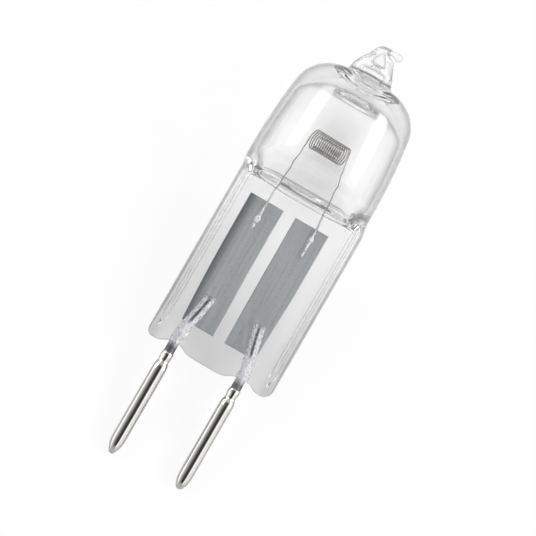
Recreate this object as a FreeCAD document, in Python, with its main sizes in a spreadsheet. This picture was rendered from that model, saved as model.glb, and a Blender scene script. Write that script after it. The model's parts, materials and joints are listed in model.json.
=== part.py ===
import FreeCAD, Part
import math
import os
import Sketcher
from FreeCAD import Placement, Rotation, Vector

# Halogen capsule bulb on two pins, in millimetres.
# The lamp's own frame has its origin in the middle of the pressed seal's lower edge, +Z along the
# lamp towards the dome, X across the two pins, and the seal's front face towards -Y.
# Every piece is drawn in that frame and then laid down by one resting placement.

SIZES = [
    # Pressed seal
    ("seal_width", 11.72, "width of the pressed seal"),
    ("seal_height", 15.6, "lower edge of the seal to the edge that the press jaws left"),
    ("seal_thickness", 3.0, "thickness of the flat face"),
    ("seal_corner", 0.7, "rounding of the lower corners"),
    ("rib_width", 0.9, "width of the thick ribs along both sides"),
    ("rib_thickness", 4.2, "thickness at the ribs"),
    ("rib_start", 2.8, "height at which the ribs rise out of the seal"),
    ("rib_overrun", 0.4, "how far the ribs run up past the jaw edge"),
    ("lip_width", 1.9, "width of the notch in the lower edge round each lead"),
    ("lip_depth", 0.35, "depth of that notch"),
    ("belly_drop", 0.3, "sag of the lower edge between the leads"),
    # Bulb
    ("bulb_diameter", 11.66, "widest diameter of the bulb"),
    ("belly_above_jaw", 2.3, "jaw edge to the widest place"),
    ("crown_above_belly", 9.4, "widest place to the top of the dome"),
    ("barrel_radius", 47.0, "long curve of the bulb's side"),
    ("shoulder_radius", 3.26, "rounding from the side into the dome"),
    ("press_upper_radius", 2.6, "rounding where the bulb closes towards the seal"),
    ("press_lower_radius", 0.9, "hollow rounding where it meets the seal's face"),
    ("press_slope", 56.0, "degrees between the lamp's axis and the slope between them"),
    ("wall", 0.53, "glass wall of the bulb"),
    ("crown_wall", 1.35, "glass wall at the top of the dome"),
    ("inner_shoulder_radius", 2.6, "rounding inside the dome"),
    ("floor_above_jaw", 0.6, "jaw edge to the bottom of the chamber"),
    ("floor_radius", 1.3, "rounding at the bottom of the chamber"),
    # Exhaust tip
    ("tip_base_radius", 2.0, "radius of the tip where it leaves the dome"),
    ("tip_neck_radius", 1.15, "radius of the tip below its rounded end"),
    ("tip_neck_height", 2.3, "dome to the neck of the tip"),
    ("tip_height", 3.12, "dome to the end of the tip"),
    ("tip_bore_radius", 0.9, "radius of the closed exhaust hole"),
    ("tip_bore_height", 1.9, "dome to the top of the exhaust hole"),
    ("tail_radius", 0.33, "radius of the drawn-off tail of glass"),
    ("tail_reach", 1.2, "how far the tail hangs over to the right"),
    ("tail_drop", 0.26, "end of the tip down to the middle of the tail"),
    # Foils
    ("foil_width", 3.16, "width of a sealing foil"),
    ("foil_length", 11.85, "length of a sealing foil"),
    ("foil_thickness", 0.04, "thickness of a sealing foil"),
    ("foil_start", 2.5, "lower edge of the seal to the foils"),
    ("foil_left_middle", 2.19, "lamp's middle to the middle of the left foil"),
    ("foil_right_middle", 1.95, "lamp's middle to the middle of the right foil"),
    # Leads and pins
    ("pin_pitch", 6.35, "middle to middle of the two pins"),
    ("pin_diameter", 1.25, "diameter of a pin"),
    ("pin_length", 9.7, "length of a pin"),
    ("pin_point_length", 1.3, "length of the pointed end"),
    ("pin_nub_diameter", 0.4, "diameter of the blunt end of the point"),
    ("pin_floor", 0.9, "metal left below the bore"),
    ("pin_gap", 0.5, "bare lead between the pin and the seal"),
    ("collar_length", 0.9, "length of the crimped collar at the top of a pin"),
    ("collar_diameter", 1.06, "diameter of the crimped collar"),
    ("neck_diameter", 0.96, "diameter of the neck under the collar"),
    ("neck_length", 0.7, "length over which the neck opens to the pin"),
    ("lead_diameter", 0.87, "diameter of an outer lead"),
    ("lead_fit", 0.01, "radial clearance of a lead in its pin"),
    ("lead_bend_height", 0.7, "lower edge of the seal to the bend of a lead"),
    ("lead_bend_radius", 3.0, "radius of that bend"),
    ("lead_lean_width", 0.84, "how far a lead leans in at its end"),
    ("lead_top", 4.9, "lower edge of the seal to the end of a lead"),
    ("weld_start", 2.3, "height at which a lead's end is pressed flat"),
    ("capillary", 0.03, "gap between the glass and a lead or leg"),
    ("cut_margin", 1.0, "how far a cutting shape runs past the glass that it cuts"),
    ("seal_overlap", 0.5, "how far the flat seal runs up into the closed end of the bulb"),
    # Filament
    ("coil_diameter", 1.8, "outer diameter of the coil"),
    ("coil_length", 3.38, "length of the coil"),
    ("coil_turns", 15.35, "turns of the coil"),
    ("coil_above_jaw", 5.2, "jaw edge to the coil's axis"),
    ("coil_shift", -0.1, "coil's middle to the right of the lamp's middle"),
    ("coil_turned", 26.0, "degrees that the coil's left end is turned to the front"),
    ("wire_diameter", 0.13, "diameter of the tungsten wire"),
    ("bend_bulge", 1.15, "share by which the wire is thicker at the bend into a leg"),
    ("leg_entry_gap", 0.1, "bottom of the chamber to the bend where a leg enters the glass"),
    ("leg_entry_spread", 2.22, "lamp's middle to a leg where it enters the glass"),
    ("leg_overlap", 2.6, "length of a leg's end on its foil"),
    ("leg_weld_spread", 2.38, "lamp's middle to the lower end of a leg"),
]

SIDES = {"left": -1, "right": 1}
WIRE_SIDES = 6  # sides of the outline that stands for the round of the coiled wire


def make_sheet(doc):
    """Puts the driving sizes in a sheet, one named cell each."""
    sheet = doc.addObject("Spreadsheet::Sheet", "sizes")
    for row, (alias, value, meaning) in enumerate(SIZES, start=1):
        sheet.set(f"A{row}", meaning)
        sheet.set(f"B{row}", str(value))
        sheet.setAlias(f"B{row}", alias)
    doc.recompute()
    return sheet


# Heights and curve centres that several pieces share, written as formulas of the sheet.
HALF_SEAL = "sizes.seal_width / 2"
BULB_RADIUS = "sizes.bulb_diameter / 2"
BELLY = "(sizes.seal_height + sizes.belly_above_jaw)"
CROWN = f"({BELLY} + sizes.crown_above_belly)"
FLOOR = "(sizes.seal_height + sizes.floor_above_jaw)"
LEAD_RADIUS = "sizes.lead_diameter / 2"
HALF_PITCH = "sizes.pin_pitch / 2"
BELOW_BULB = "(sizes.seal_height - sizes.cut_margin)"
BELOW_PRESS = "(sizes.seal_height - 2 * sizes.cut_margin)"


def new_body(doc, name):
    return doc.addObject("PartDesign::Body", name)


def plane_of(body, role):
    return [part for part in body.Origin.OriginFeatures if part.Role == role][0]


def new_sketch(body, name, role, offset=None):
    """Makes a sketch on one of the body's own planes, moved along the plane's normal by a formula."""
    sketch = body.newObject("Sketcher::SketchObject", name)
    sketch.AttachmentSupport = [(plane_of(body, role), "")]
    sketch.MapMode = "FlatFace"
    if offset is not None:
        sketch.setExpression("AttachmentOffset.Base.z", offset)
    return sketch


def value_of(sketch, formula):
    return float(sketch.evalExpression(formula))


def tie(sketch, kind, edge, end, formula):
    """Dimensions one point from the sketch's origin, keeping the dimension positive."""
    value = value_of(sketch, formula)
    if abs(value) < 1e-9:
        axis = -2 if kind == "DistanceX" else -1
        sketch.addConstraint(Sketcher.Constraint("PointOnObject", edge, end, axis))
    elif value > 0:
        index = sketch.addConstraint(Sketcher.Constraint(kind, -1, 1, edge, end, value))
        sketch.setExpression(f"Constraints[{index}]", formula)
    else:
        index = sketch.addConstraint(Sketcher.Constraint(kind, edge, end, -1, 1, -value))
        sketch.setExpression(f"Constraints[{index}]", f"-({formula})")


def tie_point(sketch, edge, end, point):
    tie(sketch, "DistanceX", edge, end, point[0])
    tie(sketch, "DistanceY", edge, end, point[1])


def arc_between(start, stop, centre):
    """Returns the shorter arc from start to stop, and whether it runs counter-clockwise."""
    first = start - centre
    last = stop - centre
    forward = first.x * last.y - first.y * last.x > 0
    if not forward:
        first, last = last, first
    circle = Part.Circle(centre, Vector(0, 0, 1), first.Length)
    arc = Part.ArcOfCircle(circle, math.atan2(first.y, first.x), math.atan2(last.y, last.x))
    return arc, forward


def trace(sketch, corners, bends, closed=True):
    """Draws an outline through the corners.

    corners holds pairs of formulas, and bends gives the centre of the arc that leaves a corner
    together with the arc's radius. Every corner and every radius is dimensioned from the sheet.
    """
    points = [Vector(value_of(sketch, x), value_of(sketch, y), 0) for x, y in corners]
    count = len(points) if closed else len(points) - 1
    edges = []
    for index in range(count):
        start = points[index]
        stop = points[(index + 1) % len(points)]
        if index in bends:
            centre_x, centre_y, radius = bends[index]
            centre = Vector(value_of(sketch, centre_x), value_of(sketch, centre_y), 0)
            arc, forward = arc_between(start, stop, centre)
            edge = sketch.addGeometry(arc, False)
            edges.append((edge, 1, 2) if forward else (edge, 2, 1))
        else:
            edge = sketch.addGeometry(Part.LineSegment(start, stop), False)
            edges.append((edge, 1, 2))
    for index in range(count if closed else count - 1):
        edge, _, last = edges[index]
        after, first, _ = edges[(index + 1) % count]
        sketch.addConstraint(Sketcher.Constraint("Coincident", edge, last, after, first))
    for index, (edge, first, _) in enumerate(edges):
        tie_point(sketch, edge, first, corners[index])
    if not closed:
        tie_point(sketch, edges[-1][0], edges[-1][2], corners[-1])
    for index, (_, _, radius) in bends.items():
        edge = edges[index][0]
        length = value_of(sketch, radius)
        number = sketch.addConstraint(Sketcher.Constraint("Radius", edge, length))
        sketch.setExpression(f"Constraints[{number}]", radius)
    return edges


def revolve(body, sketch, name):
    turned = body.newObject("PartDesign::Revolution", name)
    turned.Profile = sketch
    turned.ReferenceAxis = (sketch, ["V_Axis"])
    turned.Angle = 360.0
    return turned


def pad(body, sketch, name, length):
    """Thickens a sketch equally to both sides of its plane."""
    padded = body.newObject("PartDesign::Pad", name)
    padded.Profile = sketch
    padded.SideType = "Symmetric"
    padded.setExpression("Length", length)
    return padded


def pocket_through(body, sketch, name):
    cut = body.newObject("PartDesign::Pocket", name)
    cut.Profile = sketch
    cut.SideType = "Symmetric"
    cut.Type = "Length"
    cut.setExpression("Length", "2 * sizes.seal_width")
    return cut


def side_profile(inset):
    """Gives the two arcs that close the bulb towards the seal, with a straight slope between them.

    Both arcs keep their centres when the profile is set in by a wall thickness.
    """
    upper_y = f"({BULB_RADIUS} - sizes.press_upper_radius)"
    lower_y = "(sizes.seal_thickness / 2 + sizes.press_lower_radius)"
    radii = "(sizes.press_upper_radius + sizes.press_lower_radius)"
    slope_y = f"({upper_y} - {lower_y} + {radii} * cos(sizes.press_slope))"
    rise = f"({radii} * sin(sizes.press_slope) + {slope_y} / tan(sizes.press_slope))"
    upper_z = f"(sizes.seal_height + {rise})"
    upper_radius = f"(sizes.press_upper_radius - {inset})"
    lower_radius = f"(sizes.press_lower_radius + {inset})"
    return {
        "upper": (upper_y, upper_z, upper_radius),
        "lower": (lower_y, "sizes.seal_height", lower_radius),
        "slope_top": (f"({upper_y} + {upper_radius} * cos(sizes.press_slope))",
                      f"({upper_z} - {upper_radius} * sin(sizes.press_slope))"),
        "slope_foot": (f"({lower_y} - {lower_radius} * cos(sizes.press_slope))",
                       f"(sizes.seal_height + {lower_radius} * sin(sizes.press_slope))"),
    }


def press_sides(body, name, inset, bottom):
    """Cuts away what the press jaws pushed in, on the front and on the back."""
    arcs = side_profile(inset)
    upper = arcs["upper"]
    lower = arcs["lower"]
    outside = f"({BULB_RADIUS} + sizes.cut_margin)"
    for side, sign in (("front", "-1"), ("back", "1")):
        sketch = new_sketch(body, f"{name}_{side}_outline", "YZ_Plane")
        corners = [
            (f"{sign} * ({lower[0]} - {lower[2]})", bottom),
            (f"{sign} * ({lower[0]} - {lower[2]})", lower[1]),
            (f"{sign} * {arcs['slope_foot'][0]}", arcs["slope_foot"][1]),
            (f"{sign} * {arcs['slope_top'][0]}", arcs["slope_top"][1]),
            (f"{sign} * ({upper[0]} + {upper[2]})", upper[1]),
            (f"{sign} * {outside}", upper[1]),
            (f"{sign} * {outside}", bottom),
        ]
        bends = {
            1: (f"{sign} * {lower[0]}", lower[1], lower[2]),
            3: (f"{sign} * {upper[0]}", upper[1], upper[2]),
        }
        trace(sketch, corners, bends)
        pocket_through(body, sketch, f"{name}_{side}")


def bulb_profile(inset, crown, shoulder):
    """Gives the arcs of the bulb's side and shoulder, set in by a wall thickness."""
    middle = f"({BULB_RADIUS} - sizes.barrel_radius)"
    long_radius = f"(sizes.barrel_radius - {inset})"
    shoulder_z = f"({crown} - {shoulder})"
    rise = f"({shoulder_z} - {BELLY})"
    reach = f"sqrt(({long_radius} - {shoulder}) ^ 2 - {rise} ^ 2)"
    share = f"({long_radius} / ({long_radius} - {shoulder}))"
    return {
        "side": (middle, BELLY, long_radius),
        "shoulder": (f"({middle} + {reach})", shoulder_z, shoulder),
        "joint": (f"({middle} + {reach} * {share})", f"({BELLY} + {rise} * {share})"),
    }


def side_at(profile, height):
    """Radius of the bulb's side at a height."""
    middle, level, radius = profile["side"]
    return f"({middle} + sqrt({radius} ^ 2 - ({height} - {level}) ^ 2))"


def make_bulb_outside(doc):
    """Turned dome and barrel with the exhaust tip, pressed in at the lower end."""
    body = new_body(doc, "envelope_outside")
    profile = bulb_profile("0", CROWN, "sizes.shoulder_radius")
    neck_top = f"({CROWN} + sizes.tip_neck_height)"
    end_radius = "(sizes.tip_height - sizes.tip_neck_height)"
    flat = f"(sizes.tip_neck_radius - {end_radius})"
    narrowing = "(sizes.tip_base_radius - sizes.tip_neck_radius)"
    bell_radius = f"(({narrowing} ^ 2 + sizes.tip_neck_height ^ 2) / (2 * {narrowing}))"
    corners = [
        ("0", BELOW_BULB),
        (side_at(profile, BELOW_BULB), BELOW_BULB),
        profile["joint"],
        (profile["shoulder"][0], CROWN),
        ("sizes.tip_base_radius", CROWN),
        ("sizes.tip_neck_radius", neck_top),
        (flat, f"({neck_top} + {end_radius})"),
        ("0", f"({neck_top} + {end_radius})"),
    ]
    bends = {
        1: profile["side"],
        2: profile["shoulder"],
        4: (f"(sizes.tip_base_radius - {bell_radius})", CROWN, bell_radius),
        5: (flat, neck_top, end_radius),
    }
    sketch = new_sketch(body, "bulb_outline", "XZ_Plane")
    trace(sketch, corners, bends)
    revolve(body, sketch, "bulb_turned")
    press_sides(body, "press", "0", BELOW_PRESS)
    return body


def make_seal(doc):
    """Flat pressed seal with its wavy lower edge."""
    body = new_body(doc, "envelope_seal")
    sketch = new_sketch(body, "seal_outline", "XZ_Plane")
    top = "(sizes.seal_height + sizes.seal_overlap)"
    corner = "sizes.seal_corner"
    notch_in = f"({HALF_PITCH} - sizes.lip_width / 2)"
    notch_out = f"({HALF_PITCH} + sizes.lip_width / 2)"
    sag_radius = f"(({notch_in} ^ 2 + sizes.belly_drop ^ 2) / (2 * sizes.belly_drop))"
    corners = [
        (f"-{HALF_SEAL}", top),
        (f"-{HALF_SEAL}", corner),
        (f"-({HALF_SEAL} - {corner})", "0"),
        (f"-{notch_out}", "0"),
        (f"-{HALF_PITCH}", "sizes.lip_depth"),
        (f"-{notch_in}", "sizes.belly_drop"),
        (notch_in, "sizes.belly_drop"),
        (HALF_PITCH, "sizes.lip_depth"),
        (notch_out, "0"),
        (f"({HALF_SEAL} - {corner})", "0"),
        (HALF_SEAL, corner),
        (HALF_SEAL, top),
    ]
    bends = {
        1: (f"-({HALF_SEAL} - {corner})", corner, corner),
        5: ("0", sag_radius, sag_radius),
        9: (f"({HALF_SEAL} - {corner})", corner, corner),
    }
    trace(sketch, corners, bends)
    pad(body, sketch, "seal_pressed", "sizes.seal_thickness")
    return body


def make_rib(doc, side, sign):
    """One thick rib along the seal's side, round outside like the tube it was pressed from."""
    body = new_body(doc, f"envelope_rib_{side}")
    sketch = new_sketch(body, f"rib_{side}_section", "XY_Plane", "sizes.rib_start")
    half = "(sizes.rib_thickness / 2)"
    inner = f"({sign} * ({HALF_SEAL} - sizes.rib_width))"
    outer = f"({sign} * sqrt(({HALF_SEAL}) ^ 2 - {half} ^ 2))"
    corners = [(inner, f"-{half}"), (outer, f"-{half}"), (outer, half), (inner, half)]
    bends = {1: ("0", "0", f"({HALF_SEAL})")}
    trace(sketch, corners, bends)
    rib = body.newObject("PartDesign::Pad", f"rib_{side}_raised")
    rib.Profile = sketch
    rib.setExpression("Length", "sizes.seal_height + sizes.rib_overrun - sizes.rib_start")
    return body


def make_tail(doc):
    """Tail of glass that the drawn-off exhaust tube left hanging over to the right."""
    body = new_body(doc, "envelope_tail")
    sketch = new_sketch(body, "tail_outline", "XZ_Plane")
    level = f"({CROWN} + sizes.tip_height - sizes.tail_drop)"
    radius = "sizes.tail_radius"
    reach = "sizes.tail_reach"
    touch_x = f"({reach} - {radius} ^ 2 / {reach})"
    touch_z = f"({level} + {radius} * sqrt(1 - ({radius} / {reach}) ^ 2))"
    corners = [
        ("0", level),
        (touch_x, touch_z),
        (f"({reach} + {radius})", level),
    ]
    trace(sketch, corners, {1: (reach, level, radius)})
    turned = body.newObject("PartDesign::Revolution", "tail_turned")
    turned.Profile = sketch
    turned.ReferenceAxis = (sketch, ["Edge3"])
    turned.Angle = 360.0
    return body


def make_chamber(doc):
    """Gas chamber with the closed exhaust hole above it."""
    body = new_body(doc, "envelope_chamber")
    inner_crown = f"({CROWN} - sizes.crown_wall)"
    profile = bulb_profile("sizes.wall", inner_crown, "sizes.inner_shoulder_radius")
    corner_z = f"({FLOOR} + sizes.floor_radius)"
    corner_x = f"({side_at(profile, corner_z)} - sizes.floor_radius)"
    corners = [
        ("0", FLOOR),
        (corner_x, FLOOR),
        (side_at(profile, corner_z), corner_z),
        profile["joint"],
        (profile["shoulder"][0], inner_crown),
        ("sizes.tip_bore_radius", inner_crown),
        ("sizes.tip_bore_radius", f"({CROWN} + sizes.tip_bore_height / 3)"),
        ("0", f"({CROWN} + sizes.tip_bore_height)"),
    ]
    bends = {
        1: (corner_x, corner_z, "sizes.floor_radius"),
        2: profile["side"],
        3: profile["shoulder"],
    }
    sketch = new_sketch(body, "chamber_outline", "XZ_Plane")
    trace(sketch, corners, bends)
    revolve(body, sketch, "chamber_turned")
    press_sides(body, "chamber_press", "sizes.wall", BELOW_PRESS)
    return body


def make_foil(doc, name, side):
    """Flat sealing foil in the middle of the seal."""
    body = new_body(doc, name)
    sketch = new_sketch(body, f"{name}_outline", "XZ_Plane")
    middle = f"({SIDES[side]} * sizes.foil_{side}_middle)"
    left = f"({middle} - sizes.foil_width / 2)"
    right = f"({middle} + sizes.foil_width / 2)"
    top = "(sizes.foil_start + sizes.foil_length)"
    corners = [
        (left, "sizes.foil_start"),
        (right, "sizes.foil_start"),
        (right, top),
        (left, top),
    ]
    trace(sketch, corners, {})
    pad(body, sketch, f"{name}_sheet", "sizes.foil_thickness")
    return body


def make_lead(doc, name, side, start, growth):
    """Round outer lead, bent inwards in the glass, its end pressed flat against the foil.

    start is the height of its lower end, and growth is added to its radius and its length where
    the same shape is the hole that the glass leaves for it.
    """
    body = new_body(doc, name)
    sign = SIDES[side]
    path = new_sketch(body, f"{name}_path", "XZ_Plane")
    foot_x = f"({sign} * {HALF_PITCH})"
    bend_z = "sizes.lead_bend_height"
    rise = f"(sizes.lead_top + {growth} - {bend_z})"
    lean = f"(sizes.lead_lean_width * {rise} / (sizes.lead_top - {bend_z}))"
    slope_length = f"sqrt({rise} ^ 2 + {lean} ^ 2)"
    half_turn = f"(sizes.lead_bend_radius * ({slope_length} - {rise}) / {lean})"
    corners = [
        (foot_x, start),
        (foot_x, f"({bend_z} - {half_turn})"),
        (f"({foot_x} - {sign} * {half_turn} * {lean} / {slope_length})",
         f"({bend_z} + {half_turn} * {rise} / {slope_length})"),
        (f"({foot_x} - {sign} * {lean})", f"({bend_z} + {rise})"),
    ]
    bend_centre = f"({foot_x} - {sign} * sizes.lead_bend_radius)"
    trace(path, corners, {1: (bend_centre, corners[1][1], "sizes.lead_bend_radius")}, closed=False)
    section = new_sketch(body, f"{name}_section", "XY_Plane", start)
    foot = Vector(value_of(section, foot_x), 0, 0)
    radius = f"({LEAD_RADIUS} + {growth})"
    circle = Part.Circle(foot, Vector(0, 0, 1), value_of(section, radius))
    edge = section.addGeometry(circle, False)
    tie_point(section, edge, 3, (foot_x, "0"))
    number = section.addConstraint(Sketcher.Constraint("Radius", edge, value_of(section, radius)))
    section.setExpression(f"Constraints[{number}]", radius)
    pipe = body.newObject("PartDesign::AdditivePipe", f"{name}_wire")
    pipe.Profile = section
    pipe.Spine = path
    doc.recompute()
    round_volume = pipe.Shape.Volume
    flat = new_sketch(body, f"{name}_flat", "XZ_Plane", "sizes.foil_thickness / 2")
    top = "(sizes.lead_top + 2 * sizes.lead_diameter)"
    weld_start = f"(sizes.weld_start + {growth})"
    corners = [
        (f"({foot_x} - 2 * sizes.lead_diameter)", weld_start),
        (f"({foot_x} + 2 * sizes.lead_diameter)", weld_start),
        (f"({foot_x} + 2 * sizes.lead_diameter)", top),
        (f"({foot_x} - 2 * sizes.lead_diameter)", top),
    ]
    trace(flat, corners, {})
    cut = body.newObject("PartDesign::Pocket", f"{name}_weld_face")
    cut.Profile = flat
    cut.Type = "ThroughAll"
    doc.recompute()
    if not cut.Shape.Volume < round_volume:
        raise RuntimeError(f"{name}: the flat cuts nothing")
    return body


def make_pin(doc, side):
    """Hollow contact pin with a pointed end, crimped on its lead."""
    name = f"pin_{side}"
    body = new_body(doc, name)
    top = "-sizes.pin_gap"
    end = "-(sizes.pin_gap + sizes.pin_length)"
    radius = "(sizes.pin_diameter / 2)"
    nub = "(sizes.pin_nub_diameter / 2)"
    bore = f"({LEAD_RADIUS} + sizes.lead_fit)"
    collar = "(sizes.collar_diameter / 2)"
    neck = "(sizes.neck_diameter / 2)"
    point_z = f"({end} + sizes.pin_point_length)"
    narrowing = f"({radius} - {nub})"
    point_radius = f"(({narrowing} ^ 2 + sizes.pin_point_length ^ 2) / (2 * {narrowing}))"
    collar_low = f"({top} - sizes.collar_length)"
    bulge = f"({collar} - {neck})"
    collar_curve = f"((sizes.collar_length ^ 2 / 4 + {bulge} ^ 2) / (2 * {bulge}))"
    corners = [
        ("0", end),
        (nub, end),
        (radius, point_z),
        (radius, f"({collar_low} - sizes.neck_length)"),
        (neck, collar_low),
        (neck, top),
        (bore, top),
        (bore, f"({end} + sizes.pin_floor)"),
        ("0", f"({end} + sizes.pin_floor)"),
    ]
    sketch = new_sketch(body, f"{name}_outline", "XZ_Plane")
    bends = {
        1: (f"({radius} - {point_radius})", point_z, point_radius),
        4: (f"({collar} - {collar_curve})", f"({collar_low} + sizes.collar_length / 2)", collar_curve),
    }
    trace(sketch, corners, bends)
    revolve(body, sketch, f"{name}_turned")
    return body


def tube_along(points, radius):
    """Solid round wire along straight runs with mitred joints."""
    first_run = points[1] - points[0]
    section = Part.Wire(Part.makeCircle(radius, points[0], first_run))
    mitred = 1
    return Part.makePolygon(points).makePipeShell([section], True, False, mitred)


def coil_section(sheet, mean, pitch):
    """Outline of the coiled wire, square to its run at the start of the first turn.

    One flat of the outline faces straight out of the coil.
    """
    run = Vector(0, mean, pitch / (2 * math.pi))
    run.normalize()
    outward = Vector(1, 0, 0)
    across = run.cross(outward)
    corners = []
    for number in range(WIRE_SIDES):
        angle = 2 * math.pi * (number + 0.5) / WIRE_SIDES
        corners.append(outward * (mean + sheet.wire_diameter / 2 * math.cos(angle))
                       + across * (sheet.wire_diameter / 2 * math.sin(angle)))
    return Part.makePolygon(corners + corners[:1])


def leg_points(sheet, coil_end, sign):
    """Runs of one leg: from the coil to the glass, and down the front of its foil."""
    depth = -(sheet.foil_thickness + sheet.wire_diameter) / 2
    entry_height = sheet.seal_height + sheet.floor_above_jaw + sheet.leg_entry_gap
    weld_height = sheet.foil_start + sheet.foil_length - sheet.leg_overlap
    return [
        coil_end,
        Vector(sign * sheet.leg_entry_spread, depth, entry_height),
        Vector(sign * sheet.leg_weld_spread, depth, weld_height),
    ]


def coil_frame(sheet):
    """Placement of the coil: its own Z runs from the left end to the right end."""
    turned = math.radians(sheet.coil_turned)
    along = Vector(math.cos(turned), math.sin(turned), 0)
    back = Vector(-math.sin(turned), math.cos(turned), 0)
    middle = Vector(sheet.coil_shift, 0, sheet.seal_height + sheet.coil_above_jaw)
    rotation = Rotation(back, back.cross(along).negative(), along, "ZXY")
    return Placement(middle - along * (sheet.coil_length / 2), rotation)


def make_filament(doc, sheet):
    """One tungsten wire: the coil and its two legs."""
    radius = sheet.wire_diameter / 2
    mean = sheet.coil_diameter / 2 - radius
    rise = sheet.coil_length - sheet.wire_diameter
    pitch = rise / sheet.coil_turns
    frame = coil_frame(sheet)
    helix = Part.makeHelix(pitch, rise, mean)
    coil = Part.Wire(helix).makePipeShell([coil_section(sheet, mean, pitch)], True, True)
    coil.Placement = frame.multiply(Placement(Vector(0, 0, radius), Rotation()))
    last = math.radians(360 * sheet.coil_turns)
    ends = {
        "left": frame.multVec(Vector(mean, 0, radius)),
        "right": frame.multVec(Vector(mean * math.cos(last), mean * math.sin(last), rise + radius)),
    }
    bend_radius = radius * sheet.bend_bulge
    additions = []
    for side, sign in SIDES.items():
        additions.append(tube_along(leg_points(sheet, ends[side], sign), radius))
        additions.append(Part.makeSphere(bend_radius, ends[side]))
    filament = doc.addObject("Part::Feature", "filament")
    filament.Shape = coil.fuse(additions)
    return filament


def make_leg_hole(doc, sheet, side):
    """Hole that the glass leaves round one leg, from the chamber down to the weld."""
    sign = SIDES[side]
    radius = sheet.wire_diameter / 2 + sheet.capillary
    entry, weld = leg_points(sheet, Vector(0, 0, 0), sign)[1:]
    run = weld - entry
    run.normalize()
    clear = sheet.leg_entry_gap + sheet.wire_diameter
    hole = doc.addObject("Part::Feature", f"leg_hole_{side}")
    start = entry - run * clear
    length = (weld - start).Length + sheet.capillary
    hole.Shape = Part.makeCylinder(radius, length, start, run)
    return hole


def middle_along(sheet, tilt):
    """Middle of the tilted lamp's length, between the pin points and the end of the exhaust tip."""
    crown = sheet.seal_height + sheet.belly_above_jaw + sheet.crown_above_belly
    end_radius = sheet.tip_height - sheet.tip_neck_height
    end_flat = sheet.tip_neck_radius - end_radius
    tip = end_flat * math.sin(tilt) + (crown + sheet.tip_neck_height) * math.cos(tilt) + end_radius
    tail_level = crown + sheet.tip_height - sheet.tail_drop
    tail = tail_level * math.cos(tilt) + sheet.tail_radius
    pin_end = sheet.pin_gap + sheet.pin_length
    points = -pin_end * math.cos(tilt) - sheet.pin_nub_diameter / 2 * math.sin(tilt)
    return (max(tip, tail) + points) / 2


def resting_placement(sheet):
    """Lays the lamp down on its bulb and on the points of both pins.

    The floor touches the arc that closes the bulb and the arc of a pin's point. Both arcs' centres
    and radii are known, so the tilt follows from the two touching the same plane.
    """
    slope = math.radians(sheet.press_slope)
    radii = sheet.press_upper_radius + sheet.press_lower_radius
    upper_y = sheet.bulb_diameter / 2 - sheet.press_upper_radius
    lower_y = sheet.seal_thickness / 2 + sheet.press_lower_radius
    slope_y = upper_y - lower_y + radii * math.cos(slope)
    upper_z = sheet.seal_height + radii * math.sin(slope) + slope_y / math.tan(slope)
    narrowing = (sheet.pin_diameter - sheet.pin_nub_diameter) / 2
    point_radius = (narrowing ** 2 + sheet.pin_point_length ** 2) / (2 * narrowing)
    point_y = sheet.pin_diameter / 2 - point_radius
    point_z = sheet.pin_point_length - sheet.pin_length - sheet.pin_gap
    across = upper_y - point_y
    along = upper_z - point_z
    difference = point_radius - sheet.press_upper_radius
    tilt = math.acos(difference / math.hypot(across, along)) - math.atan2(along, across)
    lift = upper_y * math.cos(tilt) - upper_z * math.sin(tilt) + sheet.press_upper_radius
    rotation = Rotation(Vector(1, 0, 0), math.degrees(tilt) - 90)
    return Placement(Vector(0, -middle_along(sheet, tilt), lift), rotation), tilt


def check(doc, pieces):
    """Stops if any object failed or any piece is not one valid solid."""
    for item in doc.Objects:
        if "Invalid" in item.State or "Error" in item.State:
            raise RuntimeError(f"{item.Name} failed: {item.State}")
    for piece in pieces:
        shape = piece.Shape
        if shape.isNull() or not shape.isValid():
            raise RuntimeError(f"{piece.Label} has no valid shape")
        if len(shape.Solids) != 1:
            raise RuntimeError(f"{piece.Label} is {len(shape.Solids)} solids")


def build():
    doc = FreeCAD.newDocument("halogen_capsule")
    sheet = make_sheet(doc)

    outer = [make_bulb_outside(doc), make_seal(doc), make_tail(doc)]
    outer += [make_rib(doc, side, sign) for side, sign in SIDES.items()]
    holes = [make_chamber(doc)]
    metal = []
    pin_bottom = "(sizes.pin_floor + sizes.lead_fit - sizes.pin_gap - sizes.pin_length)"
    for side in SIDES:
        metal.append(make_foil(doc, f"foil_{side}", side))
        metal.append(make_lead(doc, f"lead_{side}", side, pin_bottom, "0"))
        metal.append(make_pin(doc, side))
        holes.append(make_foil(doc, f"foil_seat_{side}", side))
        holes.append(make_lead(doc, f"lead_hole_{side}", side, "-sizes.cut_margin", "sizes.capillary"))
        holes.append(make_leg_hole(doc, sheet, side))
    metal.append(make_filament(doc, sheet))
    doc.recompute()

    rest, tilt = resting_placement(sheet)
    for item in outer + holes + metal:
        item.Placement = rest.multiply(item.Placement)
    for side, sign in SIDES.items():
        shift = Placement(Vector(sign * sheet.pin_pitch / 2, 0, 0), Rotation())
        doc.getObject(f"pin_{side}").Placement = rest.multiply(shift)

    glass = doc.addObject("Part::MultiFuse", "glass_blank")
    glass.Shapes = outer
    hollow = doc.addObject("Part::MultiFuse", "glass_hollow")
    hollow.Shapes = holes
    envelope = doc.addObject("Part::Cut", "quartz_envelope")
    envelope.Base = glass
    envelope.Tool = hollow
    doc.recompute()

    pieces = [envelope] + metal
    check(doc, pieces)
    for piece in pieces:
        piece.Label = piece.Name
    os.makedirs("parts", exist_ok=True)
    for piece in pieces:
        piece.Shape.exportStep(f"parts/{piece.Label}.step")
        box = piece.Shape.optimalBoundingBox(False)
        print(f"{piece.Label:18s} volume {piece.Shape.Volume:9.3f}  z {box.ZMin:7.3f} {box.ZMax:7.3f}")
    print(f"tilt {math.degrees(tilt):.2f} degrees")


build()
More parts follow.
